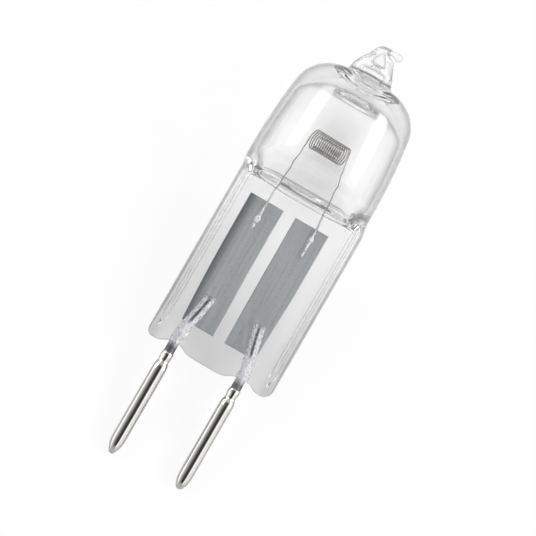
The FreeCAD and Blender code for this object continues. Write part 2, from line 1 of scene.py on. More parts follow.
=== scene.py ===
# %% [markdown]
# Halogen capsule bulb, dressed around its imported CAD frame.
# The lamp is one blown and pressed body of fused quartz with a coiled tungsten wire inside it.
# Two molybdenum foils carry the current through the glass to two leads, and a nickel pin is
# crimped on each lead. The lamp lies on its bulb and on the points of its pins, and the camera
# looks down on it. This first cell loads the frame, which fixes every size and place.

# %% Load the frame
import json
import math

import bmesh
import bpy
import numpy as np
from mathutils import Matrix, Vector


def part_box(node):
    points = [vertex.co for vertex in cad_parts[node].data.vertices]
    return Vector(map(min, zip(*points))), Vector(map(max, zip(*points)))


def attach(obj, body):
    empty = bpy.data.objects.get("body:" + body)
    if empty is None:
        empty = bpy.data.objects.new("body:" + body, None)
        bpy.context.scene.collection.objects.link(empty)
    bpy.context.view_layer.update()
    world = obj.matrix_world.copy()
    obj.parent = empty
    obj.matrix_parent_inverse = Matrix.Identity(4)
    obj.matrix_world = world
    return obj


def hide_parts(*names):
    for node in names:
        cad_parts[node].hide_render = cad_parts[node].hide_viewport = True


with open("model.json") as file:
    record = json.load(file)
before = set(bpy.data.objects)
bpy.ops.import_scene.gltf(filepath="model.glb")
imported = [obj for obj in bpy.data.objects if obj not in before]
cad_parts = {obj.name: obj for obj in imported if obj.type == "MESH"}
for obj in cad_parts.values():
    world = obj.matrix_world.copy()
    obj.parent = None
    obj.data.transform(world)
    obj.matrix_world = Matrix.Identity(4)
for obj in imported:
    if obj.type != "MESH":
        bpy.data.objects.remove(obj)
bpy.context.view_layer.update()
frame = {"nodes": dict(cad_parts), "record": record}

for node_name in sorted(frame["nodes"]):
    low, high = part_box(node_name)
    print(node_name, "from", [round(value * 1000, 2) for value in low],
          "to", [round(value * 1000, 2) for value in high], "mm")

# %% [markdown]
# The lamp is easiest to describe standing up and in millimetres: X runs across the two pins, Z
# along the lamp towards its tip, Y away from the viewer, and zero is the middle of the seal's
# lower edge. The record tells where the two contact pins are and which way they point, and these
# axes follow from that.

# %% The lamp's own axes
MM = 0.001
PIN_MIDDLE_BELOW_SEAL = 5.5
SIDES = ("left", "right")

mounts = {mount["name"]: mount for mount in frame["record"]["mounts"]}
pin_places = {side: np.array(mounts[f"pin_{side}_contact"]["pos_m"]) for side in SIDES}
along = -np.array(mounts["pin_left_contact"]["axis"])
along /= np.linalg.norm(along)
across = pin_places["right"] - pin_places["left"]
PIN_PITCH = np.linalg.norm(across) / MM
across /= np.linalg.norm(across)
back = np.cross(along, across)
LAMP_AXES = np.array([across, back, along])
PIN_MIDDLE = (pin_places["left"] + pin_places["right"]) / 2
LAMP_ORIGIN = PIN_MIDDLE + along * PIN_MIDDLE_BELOW_SEAL * MM
TILT = math.asin(along[2])


def to_world(points):
    """Turns points in the lamp's own millimetres into metres of the frame: origin plus each
    coordinate times its axis."""
    return LAMP_ORIGIN + MM * (np.asarray(points) @ LAMP_AXES)


print("pins", round(PIN_PITCH, 3), "mm apart, lamp tilted up by",
      round(math.degrees(TILT), 2), "degrees")

# %% [markdown]
# The photograph looks straight at the seal's flat face from a fair distance, with the lamp turned
# 30 degrees in the picture. A long lens keeps the perspective as gentle as it is there. The camera
# comes first, because every later shape is judged through it.

# %% Camera
PICTURE_WIDTH = 44.55
PICTURE_TURN = math.radians(30)
PICTURE_MIDDLE = (0.486, 0.0, 9.65)
LENS = 150.0
SENSOR = 36.0

camera_data = bpy.data.cameras.new("camera")
camera_data.lens = LENS
camera_data.sensor_width = SENSOR
camera = bpy.data.objects.new("camera", camera_data)
bpy.context.scene.collection.objects.link(camera)
camera_distance = PICTURE_WIDTH * LENS / SENSOR * MM
picture_up = along * math.cos(PICTURE_TURN) - across * math.sin(PICTURE_TURN)
picture_right = across * math.cos(PICTURE_TURN) + along * math.sin(PICTURE_TURN)
camera_place = to_world(PICTURE_MIDDLE) - back * camera_distance
camera_rows = np.stack([picture_right, picture_up, -back, camera_place], axis=1)
camera.matrix_world = Matrix([*camera_rows.tolist(), [0, 0, 0, 1]])
camera_data.clip_start = camera_distance * 0.1
camera_data.clip_end = camera_distance * 100
bpy.context.scene.camera = camera
bpy.context.scene.view_settings.view_transform = "Standard"
print("camera", round(camera_distance, 4), "m from the lamp")

# %% [markdown]
# Every new piece is a set of closed surfaces. Each is a grid: rings that follow each other along
# the piece, all with the same number of points. The end rings shrink to a point or a line, so
# merging the points that coincide closes the surface. The sign of the enclosed volume tells which
# way the faces look, and a hollow in the glass has to look inwards.

# %% Grids to meshes
MERGE_DISTANCE = 1e-8


def grid_faces(rings, columns):
    """Corner numbers of the quads between neighbouring rings, with the columns wrapped round."""
    ring = np.arange(rings - 1)[:, None] * columns
    column = np.arange(columns)[None, :]
    following = (column + 1) % columns
    corners = [ring + column, ring + following, ring + columns + following,
               ring + columns + column]
    return np.stack(corners, axis=-1).reshape(-1, 4)


def enclosed_volume(points, faces):
    """Sum over the quads of a sixth of the triple product of their two triangles' corners."""
    a, b, c, d = (points[faces[:, corner]] for corner in range(4))
    first = np.einsum("ij,ij->i", a, np.cross(b, c))
    second = np.einsum("ij,ij->i", a, np.cross(c, d))
    return (first + second).sum() / 6


def add_piece(name, solids, hollows=()):
    """Makes one object from closed grids: solids face outwards, hollows face into their space."""
    all_points, all_faces, offset = [], [], 0
    for grid, wanted in [(grid, 1) for grid in solids] + [(grid, -1) for grid in hollows]:
        rings, columns = grid.shape[:2]
        points = to_world(grid.reshape(-1, 3))
        faces = grid_faces(rings, columns)
        if enclosed_volume(points - points.mean(axis=0), faces) * wanted < 0:
            faces = faces[:, ::-1]
        all_points.append(points)
        all_faces.append(faces + offset)
        offset += len(points)
    mesh = bpy.data.meshes.new(name)
    mesh.from_pydata(np.concatenate(all_points).tolist(), [],
                     np.concatenate(all_faces).tolist())
    merged = bmesh.new()
    merged.from_mesh(mesh)
    bmesh.ops.remove_doubles(merged, verts=merged.verts, dist=MERGE_DISTANCE)
    open_edges = sum(1 for edge in merged.edges if not edge.is_manifold)
    merged.to_mesh(mesh)
    merged.free()
    mesh.shade_smooth()
    piece = bpy.data.objects.new(name, mesh)
    bpy.context.scene.collection.objects.link(piece)
    triangles = sum(len(polygon.vertices) - 2 for polygon in mesh.polygons)
    print(name, triangles, "triangles,", open_edges, "open edges")
    return piece


# %% [markdown]
# Five small formulas come back in nearly every shape: a smooth step, a bell-shaped swell, the
# rounded corner where two limits meet, a curve through a few measured stations, and level rings.

# %% Steps, swells, corners, curves and rings
def smooth_step(low, high, value):
    """0 at low, 1 at high and an S-shaped rise between them. With low above high it falls."""
    share = np.clip((value - low) / (high - low), 0, 1)
    return share * share * (3 - 2 * share)


def bell(value, middle, reach, power=2):
    """A swell of height 1: e to minus the distance over the reach, raised to the power. A higher
    power makes it squarer."""
    return np.exp(-((value - middle) / reach) ** power)


def smaller_of(first, second, blend):
    """The smaller of two sizes, rounded off where they differ by less than the blend: there a
    quarter of the blend times the square of the missing share comes off."""
    low = np.minimum(first, second)
    blend = np.maximum(np.minimum(blend, low), 1e-9)
    near = np.clip(1 - np.abs(first - second) / blend, 0, 1)
    return low - blend * near ** 2 / 4


def through_stations(stations, count):
    """Smooth curve through rows of values: a Catmull-Rom cubic between each pair of rows."""
    rows = np.asarray(stations, float)
    padded = np.vstack([2 * rows[0] - rows[1], rows, 2 * rows[-1] - rows[-2]])
    place = np.linspace(0, len(rows) - 1, count)
    number = np.minimum(place.astype(int), len(rows) - 2)
    step = (place - number)[:, None]
    before, start, stop, after = (padded[number + shift] for shift in range(4))
    return 0.5 * (2 * start + (stop - before) * step
                  + (2 * before - 5 * start + 4 * stop - after) * step ** 2
                  + (3 * start - before - 3 * stop + after) * step ** 3)


def level_rings(radius, height, angle, shift=0):
    """x is the shift plus the radius times the cosine of the angle, y the radius times its sine
    and z the height."""
    grid = shift + radius * np.cos(angle), radius * np.sin(angle), height
    return np.stack(np.broadcast_arrays(*grid), axis=-1)


# %% [markdown]
# The quartz body was one piece of round tube. Its lower end was heated and pressed flat between
# jaws, and its upper end was blown into a dome. Between the two the front and back come in on a
# slope, with an arc at each end of it. One grid can follow all of that: each ring is a circle
# whose front and back are limited by how far the jaws pushed them in. Where that limit meets the
# round side, the glass flowed into a soft corner, widest at the waist.

# %% Bulb, press and waist
SEAL_HEIGHT = 15.6
BULB_RADIUS = 5.83
BELLY_HEIGHT = 17.9
BARREL_RADIUS = 47.0
PRESS_SLOPE = math.radians(56)
# Depth and height of the lower arc's centre and its radius. The upper arc ends on the bulb.
PRESS_LOWER = (1.9, SEAL_HEIGHT, 0.4)
PRESS_UPPER_RADIUS = 2.6
PRESS_UPPER_DEPTH = BULB_RADIUS - PRESS_UPPER_RADIUS
UNPRESSED_SLOPE = 8
SIDE_BLEND = 0.5
WAIST_BLEND = 1.5
WAIST_RISE = 1.2
WAIST_END = (19.4, 18.0)


def barrel_radius(height, inset):
    """Radius of the bulb's side: a long arc that is widest at the belly."""
    middle = BULB_RADIUS - BARREL_RADIUS
    return middle + np.sqrt((BARREL_RADIUS - inset) ** 2 - (height - BELLY_HEIGHT) ** 2)


def pressed_depth(height, inset):
    """How far from the middle the jaws left the glass: an arc, a straight slope and another arc,
    all set in by the given wall. Above them the limit opens away."""
    lower_y, lower_z, lower_radius = PRESS_LOWER
    both = PRESS_UPPER_RADIUS + lower_radius
    run = PRESS_UPPER_DEPTH - lower_y + both * math.cos(PRESS_SLOPE)
    rise = both * math.sin(PRESS_SLOPE) + run / math.tan(PRESS_SLOPE)
    upper_y, upper_z = PRESS_UPPER_DEPTH, lower_z + rise
    upper_radius = PRESS_UPPER_RADIUS - inset
    lower_radius = lower_radius + inset
    foot = lower_z + lower_radius * math.sin(PRESS_SLOPE)
    foot_y = lower_y - lower_radius * math.cos(PRESS_SLOPE)
    above = np.clip(height - lower_z, 0, None)
    lower_arc = lower_y - np.sqrt(np.clip(lower_radius ** 2 - above ** 2, 0, None))
    slope = foot_y + (height - foot) * math.tan(PRESS_SLOPE)
    upper_arc = upper_y + np.sqrt(np.clip(upper_radius ** 2 - (height - upper_z) ** 2, 0, None))
    depth = np.where(height < foot, lower_arc, slope)
    top = upper_z - upper_radius * math.sin(PRESS_SLOPE)
    depth = np.where(height > top, upper_arc, depth)
    opening = upper_y + upper_radius + UNPRESSED_SLOPE * (height - upper_z)
    return np.where(height > upper_z, opening, depth)


def side_blend(height, start):
    """How far the rounding between a pressed face and the round side reaches: wide from the
    start to the waist's end, and narrow below and above that."""
    waist = smooth_step(start, start + WAIST_RISE, height) * smooth_step(*WAIST_END, height)
    return SIDE_BLEND + (WAIST_BLEND - SIDE_BLEND) * waist


for level in (SEAL_HEIGHT, SEAL_HEIGHT + 1, SEAL_HEIGHT + 2):
    print("half depth at", level, "mm:", round(float(pressed_depth(level, 0)), 2), "mm")

# %% [markdown]
# The seal is a flat web with a rounded rib along each side, which the jaws had room for. It sits
# a little to the right of the pins. Its lower edge ran out a little round the leads and sagged
# between them. The upper edge of the jaws left a low ridge. The ribs rise steeply, so the columns
# of the grid stand closer together there.

# %% Seal and side
SEAL_HALF_WIDTH = 5.86
SEAL_SHIFT = 0.18
SHIFT_END = 1.6
FACE_HALF = 1.5
RIB_HALF = 2.1
RIB_INNER = 5.08
RIB_SIDE = 0.22
RIB_START = 1.8
RIB_FADE = 1.9
RIB_END = (SEAL_HEIGHT + 0.9, SEAL_HEIGHT + 0.1)
JAW_LINE = SEAL_HEIGHT - 0.15
JAW_RIDGE = 0.05
JAW_REACH = 0.13
# Height, sideways middle and half width of the lips where the leads come out.
EDGE_LIPS = [(0.40, -3.15, 1.0), (0.46, 3.2, 1.15)]
EDGE_CORNERS = (0.7, 0.95)
EDGE_ROUNDING = 0.4
EDGE_REACH = 3.8
WAIST_TOP = 19.6
SIDE_TOP = 24.4
BODY_COLUMNS = 240
RIB_CROWDING = 2.0
RIB_CROWD_ANGLE = 0.12


def columns_round(count):
    """Angles round the body, closer together where the ribs rise from the flat face: equal
    shares of an integral whose density has a swell there."""
    angle = np.linspace(0, 2 * math.pi, 4001)
    rib_angle = math.acos(RIB_INNER / SEAL_HALF_WIDTH)
    density = np.ones_like(angle)
    for place in (rib_angle, math.pi - rib_angle, math.pi + rib_angle, 2 * math.pi - rib_angle):
        density += RIB_CROWDING * bell(angle, place, RIB_CROWD_ANGLE)
    gathered = np.concatenate([[0], np.cumsum((density[1:] + density[:-1]) / 2)])
    return np.interp(np.arange(count) / count * gathered[-1], gathered, angle)


def bottom_edge(x):
    """Height of the lower edge: the two lips, a rise to the right, a low swell on each side of
    the middle, and a quarter circle at each outer corner."""
    lips = sum(height * bell(x, middle, reach, 4) for height, middle, reach in EDGE_LIPS)
    rise = 0.16 * smooth_step(2.5, 4.2, x)
    swells = 0.09 * bell(np.abs(x), 2.2, 0.8)
    offset = x - SEAL_SHIFT
    corner = np.where(offset < 0, *EDGE_CORNERS)
    beyond = np.clip(np.abs(offset) - (SEAL_HALF_WIDTH - corner), 0, corner)
    return lips + rise + swells + corner - np.sqrt(corner ** 2 - beyond ** 2)


def seal_depth(x, height):
    """Half thickness of the seal: the flat web, a rib that rises along each side, and the ridge
    along the jaws' slightly wavy upper edge."""
    rib = smooth_step(RIB_INNER - RIB_SIDE, RIB_INNER + RIB_SIDE, np.abs(x - SEAL_SHIFT))
    rib = rib * smooth_step(RIB_START - RIB_FADE, RIB_START + RIB_FADE, height)
    rib = rib * smooth_step(*RIB_END, height)
    jaw_line = JAW_LINE + 0.05 * np.sin(1.7 * x + 0.5) + 0.02 * np.sin(6.1 * x)
    ridge = JAW_RIDGE * bell(height, jaw_line, JAW_REACH)
    return pressed_depth(height, 0) + (RIB_HALF - FACE_HALF) * rib + ridge


def lower_body(angle):
    """Rings of the seal and the side: x is the half width times the cosine of the angle, and y
    is the smaller of the circle's depth and the depth that the jaws left. The first rings close
    the lower edge with a quarter circle."""
    cap = np.sin(np.linspace(0, math.pi / 2, 14)) ** 0.9
    cap_start = 1 - EDGE_ROUNDING / FACE_HALF
    rounding = np.clip((cap - cap_start) / (1 - cap_start), 0, 1)
    lift = EDGE_ROUNDING * (1 - np.sqrt(1 - rounding ** 2))
    marks = [0, EDGE_REACH, SEAL_HEIGHT - 0.4, WAIST_TOP, SIDE_TOP]
    heights = np.concatenate([np.linspace(low, high, count)[1:] for low, high, count
                              in zip(marks, marks[1:], (24, 34, 56, 26))])
    squeeze = np.concatenate([cap, np.ones(len(heights))])[:, None]
    level = np.concatenate([np.zeros(len(cap)), heights])[:, None]
    lift = np.concatenate([lift, np.full(len(heights), EDGE_ROUNDING)])[:, None]
    bulging = smooth_step(SEAL_HEIGHT, SEAL_HEIGHT + 0.8, level)
    barrel = barrel_radius(np.maximum(level, SEAL_HEIGHT), 0)
    width = SEAL_HALF_WIDTH + (barrel - SEAL_HALF_WIDTH) * bulging
    shift = SEAL_SHIFT * (1 - smooth_step(SEAL_HEIGHT, SEAL_HEIGHT + SHIFT_END, level))
    x = width * np.cos(angle)[None, :] + shift
    share = np.clip(level / EDGE_REACH, 0, 1)
    z = (bottom_edge(x) + lift) * (1 - share) + level
    circle = width * np.abs(np.sin(angle))[None, :]
    y = smaller_of(circle, seal_depth(x, z), side_blend(z, SEAL_HEIGHT + 0.3))
    return np.stack([x, squeeze * y * np.sign(np.sin(angle))[None, :], z], axis=-1)


body_angle = columns_round(BODY_COLUMNS)
seal_and_side = lower_body(body_angle)
print("seal and side", seal_and_side.shape[0], "rings of", BODY_COLUMNS, "points")

# %% [markdown]
# The dome is an arc turned round the lamp's axis. The exhaust tube was drawn off on top of it, and
# left a cone of glass with a hooked end. Its rings are circles that lean over to follow the hook.

# %% Dome and tip
CROWN_HEIGHT = 27.3
SHOULDER_RADIUS = 3.26
# Middle x, height above the crown, lean in degrees and radius of the drawn-off exhaust tip.
TIP_STATIONS = [
    (0.00, 0.01, 0, 2.38), (-0.01, 0.06, 0, 2.20), (-0.03, 0.20, 0, 2.03),
    (-0.06, 0.42, 0, 1.92), (-0.09, 0.74, 0, 1.84), (-0.09, 1.12, 0, 1.68),
    (-0.07, 1.62, 0, 1.44), (0.02, 2.08, 2, 1.16), (0.08, 2.42, 8, 1.02),
    (0.12, 2.68, 22, 0.80), (0.22, 2.86, 48, 0.44), (0.46, 2.94, 78, 0.22),
    (0.74, 2.93, 92, 0.23), (1.02, 2.89, 98, 0.32), (1.22, 2.86, 98, 0.34),
    (1.40, 2.84, 96, 0.26), (1.49, 2.83, 96, 0.12), (1.51, 2.83, 96, 0.0),
]


def shoulder_rings(angle, inset, crown, arc_radius, count, stop):
    """Circles that shrink towards the crown along an arc. It touches the long side arc on the
    line through the centres of the two."""
    rise = crown - arc_radius - BELLY_HEIGHT
    reach = math.sqrt((BARREL_RADIUS - inset - arc_radius) ** 2 - rise ** 2)
    turn = np.linspace(math.atan2(rise, reach) + 0.02, math.pi / 2 - stop, count)[:, None]
    radius = BULB_RADIUS - BARREL_RADIUS + reach + arc_radius * np.cos(turn)
    return level_rings(radius, crown - arc_radius + arc_radius * np.sin(turn), angle)


def leaning_rings(stations, count, base, angle):
    """Circles whose planes lean over with the path: across is (cos lean, -sin lean)."""
    middle, height, lean, radius = through_stations(stations, count).T[:, :, None]
    radius = np.clip(radius, 0, None)
    lean = np.radians(lean)
    x = middle + radius * np.cos(angle) * np.cos(lean)
    y = radius * np.sin(angle) + 0 * middle
    z = base + height - radius * np.cos(angle) * np.sin(lean)
    return np.stack([x, y, z], axis=-1)


outer_body = np.concatenate([
    seal_and_side,
    shoulder_rings(body_angle, 0, CROWN_HEIGHT, SHOULDER_RADIUS, 36, 0.02),
    leaning_rings(TIP_STATIONS, 84, CROWN_HEIGHT, body_angle),
])
print("outer body", outer_body.shape[0], "rings of", outer_body.shape[1], "points")

# %% [markdown]
# The gas chamber is the same kind of grid, set in by the wall. Its floor is a slot where the front
# and back walls were pinched together. The jaws met a little unevenly, so the slot leans: its back
# edge stands higher than its front edge, and it shows as a lens. Above the dome the closed exhaust
# hole runs up into the tip, narrows where the glass flowed together and ends in a slim cone.

# %% Gas chamber
WALL = 0.53
FLOOR_HEIGHT = 16.12
FLOOR_CORNER_WIDTH = 1.2
FLOOR_CORNER_HEIGHT = 2.4
FLOOR_REGION = 3.6
CHAMBER_SIDE_TOP = 23.6
SLOT_DEPTH = 0.95
SLOT_ROUNDING = 0.1
SLOT_OPENING = 4.0
SLOT_HALF_WIDTH = 4.5
SLOT_SHIFT = 0.22
SLOT_SLANT = 0.72
# Heights above the floor at which the lean is gone and at which it is full.
SLOT_LEAN_FRONT = (0.6, 0.05)
SLOT_LEAN_BACK = (1.25, 0.1)
INNER_CROWN = 25.95
INNER_SHOULDER = 2.6
CHAMBER_COLUMNS = 160
# Radius and height above the outer crown of the hole that runs up into the tip.
BORE_STATIONS = [
    (2.30, -1.35), (1.90, -1.42), (1.45, -1.40), (1.12, -1.15), (0.98, -0.70), (0.96, -0.10),
    (0.97, 0.45), (0.90, 0.78), (0.55, 0.93), (0.30, 0.98), (0.36, 1.10), (0.50, 1.28),
    (0.46, 1.65), (0.30, 2.05), (0.12, 2.36), (0.0, 2.45),
]


def chamber_rings(angle):
    """Rings of the chamber: the half width grows out of the floor's elliptic corner, and the depth
    is the smallest of the circle, the slot's half depth, which soon opens wide, and the wall. The
    slot's part of the depth times the slant is added to the height."""
    rise = np.linspace(0, 1, 34) ** 1.8 * FLOOR_REGION
    side = np.linspace(FLOOR_HEIGHT + FLOOR_REGION, CHAMBER_SIDE_TOP, 26)[1:]
    heights = np.concatenate([FLOOR_HEIGHT + rise, side])[:, None]
    above = heights - FLOOR_HEIGHT
    corner = 1 - np.sqrt(1 - np.clip(1 - above / FLOOR_CORNER_HEIGHT, 0, 1) ** 2)
    width = barrel_radius(heights, WALL) - FLOOR_CORNER_WIDTH * corner
    x = width * np.cos(angle)
    slot = np.sqrt(np.clip(1 - ((x - SLOT_SHIFT) / SLOT_HALF_WIDTH) ** 2, 0.02, 1))
    slot = slot + (1 - slot) * smooth_step(0.2, 1.2, above)
    edge = np.sqrt(1 - np.clip(1 - above / SLOT_ROUNDING, 0, 1) ** 2)
    trough = SLOT_DEPTH * edge * slot + SLOT_OPENING * above ** 2
    depth = smaller_of(trough, pressed_depth(heights, WALL) + 0 * x, 0.6)
    blend = side_blend(heights, FLOOR_HEIGHT - 1.5)
    y = smaller_of(width * np.abs(np.sin(angle)), depth, blend) * np.sign(np.sin(angle))
    tilt = SLOT_SLANT * np.clip(y, -SLOT_DEPTH, SLOT_DEPTH)
    lean = np.where(y < 0, smooth_step(*SLOT_LEAN_FRONT, above),
                    smooth_step(*SLOT_LEAN_BACK, above))
    return np.stack([x, y, heights + tilt * lean], axis=-1)


def bore_rings(angle):
    """Rings of the exhaust hole, turned round a middle that drifts a little with the tip."""
    radius, height = through_stations(BORE_STATIONS, 46).T[:, :, None]
    drift = -0.05 * smooth_step(-0.5, 1.0, height)
    return level_rings(np.clip(radius, 0, None), CROWN_HEIGHT + height, angle, drift)


chamber_angle = np.arange(CHAMBER_COLUMNS) / CHAMBER_COLUMNS * 2 * math.pi
chamber = np.concatenate([
    chamber_rings(chamber_angle),
    shoulder_rings(chamber_angle, WALL, INNER_CROWN, INNER_SHOULDER, 24, 0.03),
    bore_rings(chamber_angle),
])
print("chamber", chamber.shape[0], "rings of", chamber.shape[1], "points")

# %% [markdown]
# Quartz never wets a wire all round, so a thin air gap stays along every lead and filament leg
# and makes it glint white inside the glass. Each gap is a tube along its wire, and the wires are
# tubes too, so one function sweeps both: it sets a circle square to the path at every point, from
# a direction that never runs along the path.

# %% Tubes along a path
BACKWARDS = np.array([[0.0, 1.0, 0.0]])


def unit(vectors):
    """Each vector divided by its own length."""
    return vectors / np.linalg.norm(vectors, axis=-1, keepdims=True)


def sweep(path, reference, radius, columns, flat=None):
    """Circles square to a path: one axis is the reference less its part along the path, the other
    is square to both, and each point is the middle plus radius times cosine and sine of the two.
    A radius of 0 at both ends closes the tube. Where flat is given, nothing reaches behind it."""
    tangent = unit(np.gradient(path, axis=0))
    first = unit(reference - np.sum(reference * tangent, axis=1, keepdims=True) * tangent)
    second = np.cross(tangent, first)
    angle = np.arange(columns) / columns * 2 * math.pi
    ring = (np.cos(angle)[None, :, None] * first[:, None, :]
            + np.sin(angle)[None, :, None] * second[:, None, :])
    points = path[:, None, :] + np.broadcast_to(radius, len(path))[:, None, None] * ring
    if flat is not None:
        points[..., 1] = np.minimum(points[..., 1], flat[:, None])
    return points


def closed_ends(radius, count=5):
    """Radii that run up from 0 over the first points and back to 0 over the last ones."""
    ends = np.sin(np.linspace(0, math.pi / 2, count))
    shaped = np.array(radius, float)
    shaped[:count] *= ends
    shaped[-count:] *= ends[::-1]
    return shaped


# %% [markdown]
# A lead runs straight up out of its pin and bends inwards in the seal. On the foil its end is
# pressed to a half round, and the quartz in front of it crumpled as it cooled.

# %% Paths of the leads
LEAD_RADIUS = 0.435
LEAD_CORE = 0.12
LEAD_FOOT = -9.2
LEAD_TOP = 4.95
LEAD_RINGS = 110
FLAT_START = 2.3
FLAT_FULL = 3.0
FOIL_HALF = 0.02
CRAZING = 0.05
PIN_X = {"left": -PIN_PITCH / 2, "right": PIN_PITCH / 2}
# Heights along the straight part of a lead, from inside its pin up into the seal, and then the
# sideways place and height along the bend, up to its end on the foil.
LEAD_STRAIGHT = (LEAD_FOOT, -6.0, -3.0, -0.6, 0.2)
LEAD_BENDS = {
    "left": [(-3.12, 1.1), (-2.94, 2.35), (-2.70, 3.5), (-2.42, 4.95)],
    "right": [(3.14, 1.1), (2.96, 2.25), (2.68, 3.5), (2.30, 5.1)],
}
LEAD_PATHS = {side: [(PIN_X[side], height) for height in LEAD_STRAIGHT] + LEAD_BENDS[side]
              for side in SIDES}


def lead_tube(side, start, stop, below, above, columns):
    """A lead, or the air gap round it: round below the foil, and a half round in front of it. The
    radius changes from the one below the foil to the one above its lower edge."""
    dense = through_stations(LEAD_PATHS[side], 600)
    turn = np.linspace(0, math.pi, LEAD_RINGS)
    height = start + (stop - start) * (0.5 - 0.5 * np.cos(turn))
    x = np.interp(height, dense[:, 1], dense[:, 0])
    path = np.stack([x, np.zeros(LEAD_RINGS), height], axis=1)
    radius = below + (above - below) * smooth_step(FLAT_START, FLAT_FULL, height)
    flat = np.where(height > FLAT_START, -FOIL_HALF, below)
    return sweep(path, BACKWARDS, closed_ends(radius), columns, flat)


def crumpled(tube):
    """Moves the front of a tube forwards where it lies on the foil, by crossed waves in X and Z
    that are a few tenths of a millimetre long."""
    x, y, z = (tube[..., axis] for axis in range(3))
    waves = np.sin(x * 19 + z * 7) * np.sin(z * 17 - x * 6 + 1.3) + 0.6 * np.sin(x * 31 - z * 23)
    amount = CRAZING * smooth_step(2.7, 3.3, z) * smooth_step(0.0, 0.12, -FOIL_HALF - y)
    return np.stack([x, y - amount * (1 + waves), z], axis=-1)


print("leads bend from", [LEAD_PATHS[side][0] for side in SIDES],
      "to", [LEAD_PATHS[side][-1] for side in SIDES])

# %% [markdown]
# The filament is one tungsten wire: up one leg, round fifteen turns, and down the other leg. A
# helix is a circle carried along the coil's axis. Here the coil is turned so that its left end
# comes towards the viewer, and the legs carry on from both ends in the direction the wire has.

# %% Filament wire
WIRE_RADIUS = 0.055
WIRE_COLUMNS = 12
COIL_RADIUS = 0.835
COIL_TURNS = 15.35
COIL_RISE = 3.25
COIL_HEIGHT = 20.8
COIL_SHIFT = -0.1
COIL_TURNED = math.radians(26)
COIL_BEHIND = np.array([-math.sin(COIL_TURNED), math.cos(COIL_TURNED), 0.0])
POINTS_PER_TURN = 40
LEG_POINTS = 90
# Sideways place, depth and height along each leg, from the coil down to the weld on the foil.
LEG_STATIONS = {
    "left": [(-2.06, -0.03, 18.4), (-2.20, -0.085, 16.6), (-2.28, -0.085, 15.6),
             (-2.27, -0.085, 14.3), (-2.36, -0.085, 11.8)],
    "right": [(2.04, -0.20, 18.6), (2.26, -0.09, 16.6), (2.26, -0.085, 15.6),
              (2.38, -0.085, 14.3), (2.40, -0.085, 11.8)],
}


def coil_point(turns):
    """Place on the helix after some turns, and the direction out from its axis there."""
    axis = np.array([math.cos(COIL_TURNED), math.sin(COIL_TURNED), 0.0])
    up = np.array([0.0, 0.0, 1.0])
    angle = 2 * math.pi * np.asarray(turns)[:, None]
    outward = np.cos(angle) * COIL_BEHIND + np.sin(angle) * up
    middle = np.array([COIL_SHIFT, 0.0, COIL_HEIGHT])
    travel = (np.asarray(turns)[:, None] / COIL_TURNS - 0.5) * COIL_RISE
    return middle + travel * axis + COIL_RADIUS * outward, outward


def filament_path():
    """The whole wire, the left leg from its weld up to the coil, the helix and the right leg, and
    a direction square to it: along the coil the one out from its axis, which turns to the front
    over the first points of the right leg."""
    helix, outward = coil_point(np.linspace(0, COIL_TURNS, int(COIL_TURNS * POINTS_PER_TURN)))
    left = through_stations([helix[0]] + LEG_STATIONS["left"], LEG_POINTS)
    right = through_stations([helix[-1]] + LEG_STATIONS["right"], LEG_POINTS)
    before = np.tile(COIL_BEHIND, (LEG_POINTS - 1, 1))
    blend = smooth_step(0, 8, np.arange(LEG_POINTS - 1))[:, None]
    after = outward[-1] * (1 - blend) - COIL_BEHIND * blend
    path = np.concatenate([left[:0:-1], helix, right[1:]])
    return path, unit(np.concatenate([before, outward, after]))


wire_path, wire_reference = filament_path()
wire_radius = closed_ends(np.full(len(wire_path), WIRE_RADIUS), 4)
filament = add_piece("tungsten_filament",
                     [sweep(wire_path, wire_reference, wire_radius, WIRE_COLUMNS)])

# %% [markdown]
# Now the hollows of the glass are known: the chamber, one gap round each lead, and one channel
# along each leg, with the small bubble that the weld left. Together with the outer shape they make
# one closed body of glass.

# %% Quartz body
LEAD_GAP = 0.13
LEAD_GAP_START = 0.62
LEAD_GAP_BEYOND = 0.3
LEAD_GAP_COLUMNS = 36
PATCH_RADIUS = 0.5
LEG_GAP = 0.05
LEG_GAP_COLUMNS = 20
LEG_GAP_BELOW_FLOOR = 0.3
# Height and size of the bubble at each leg's weld.
WELD_BUBBLES = {"left": (12.75, 0.17), "right": (13.35, 0.11)}
WELD_REACH = 0.32


def leg_channel(side):
    """Air channel along a leg, up to just below the chamber's floor: a tube with a bulge of bell
    shape where the weld is, and a slow ripple."""
    stations = through_stations(LEG_STATIONS[side], 240)
    path = stations[stations[:, 2] < FLOOR_HEIGHT - LEG_GAP_BELOW_FLOOR][::2]
    height, size = WELD_BUBBLES[side]
    bulge = size * bell(path[:, 2], height, WELD_REACH)
    ripple = 0.018 * np.sin(path[:, 2] * 9.0) * smooth_step(15, 14, path[:, 2])
    radius = closed_ends(WIRE_RADIUS + LEG_GAP + bulge + ripple, 4)
    flat = np.where(path[:, 2] < 14.4, -FOIL_HALF, 1.0)
    return sweep(path, BACKWARDS, radius, LEG_GAP_COLUMNS, flat)


hollows = [chamber]
for side in SIDES:
    gap = lead_tube(side, LEAD_GAP_START, LEAD_TOP + LEAD_GAP_BEYOND, LEAD_RADIUS + LEAD_GAP,
                    PATCH_RADIUS, LEAD_GAP_COLUMNS)
    hollows += [crumpled(gap), leg_channel(side)]
quartz = add_piece("quartz_body", [outer_body], hollows)

# %% [markdown]
# Quartz and metal shrink by different amounts, so the glass beside the leads and at the welds is
# crazed: full of tiny flakes that lift off and look white. Where that happens follows the wires,
# so each point of the glass gets a share from 0 to 1, and the material reads it as an attribute.

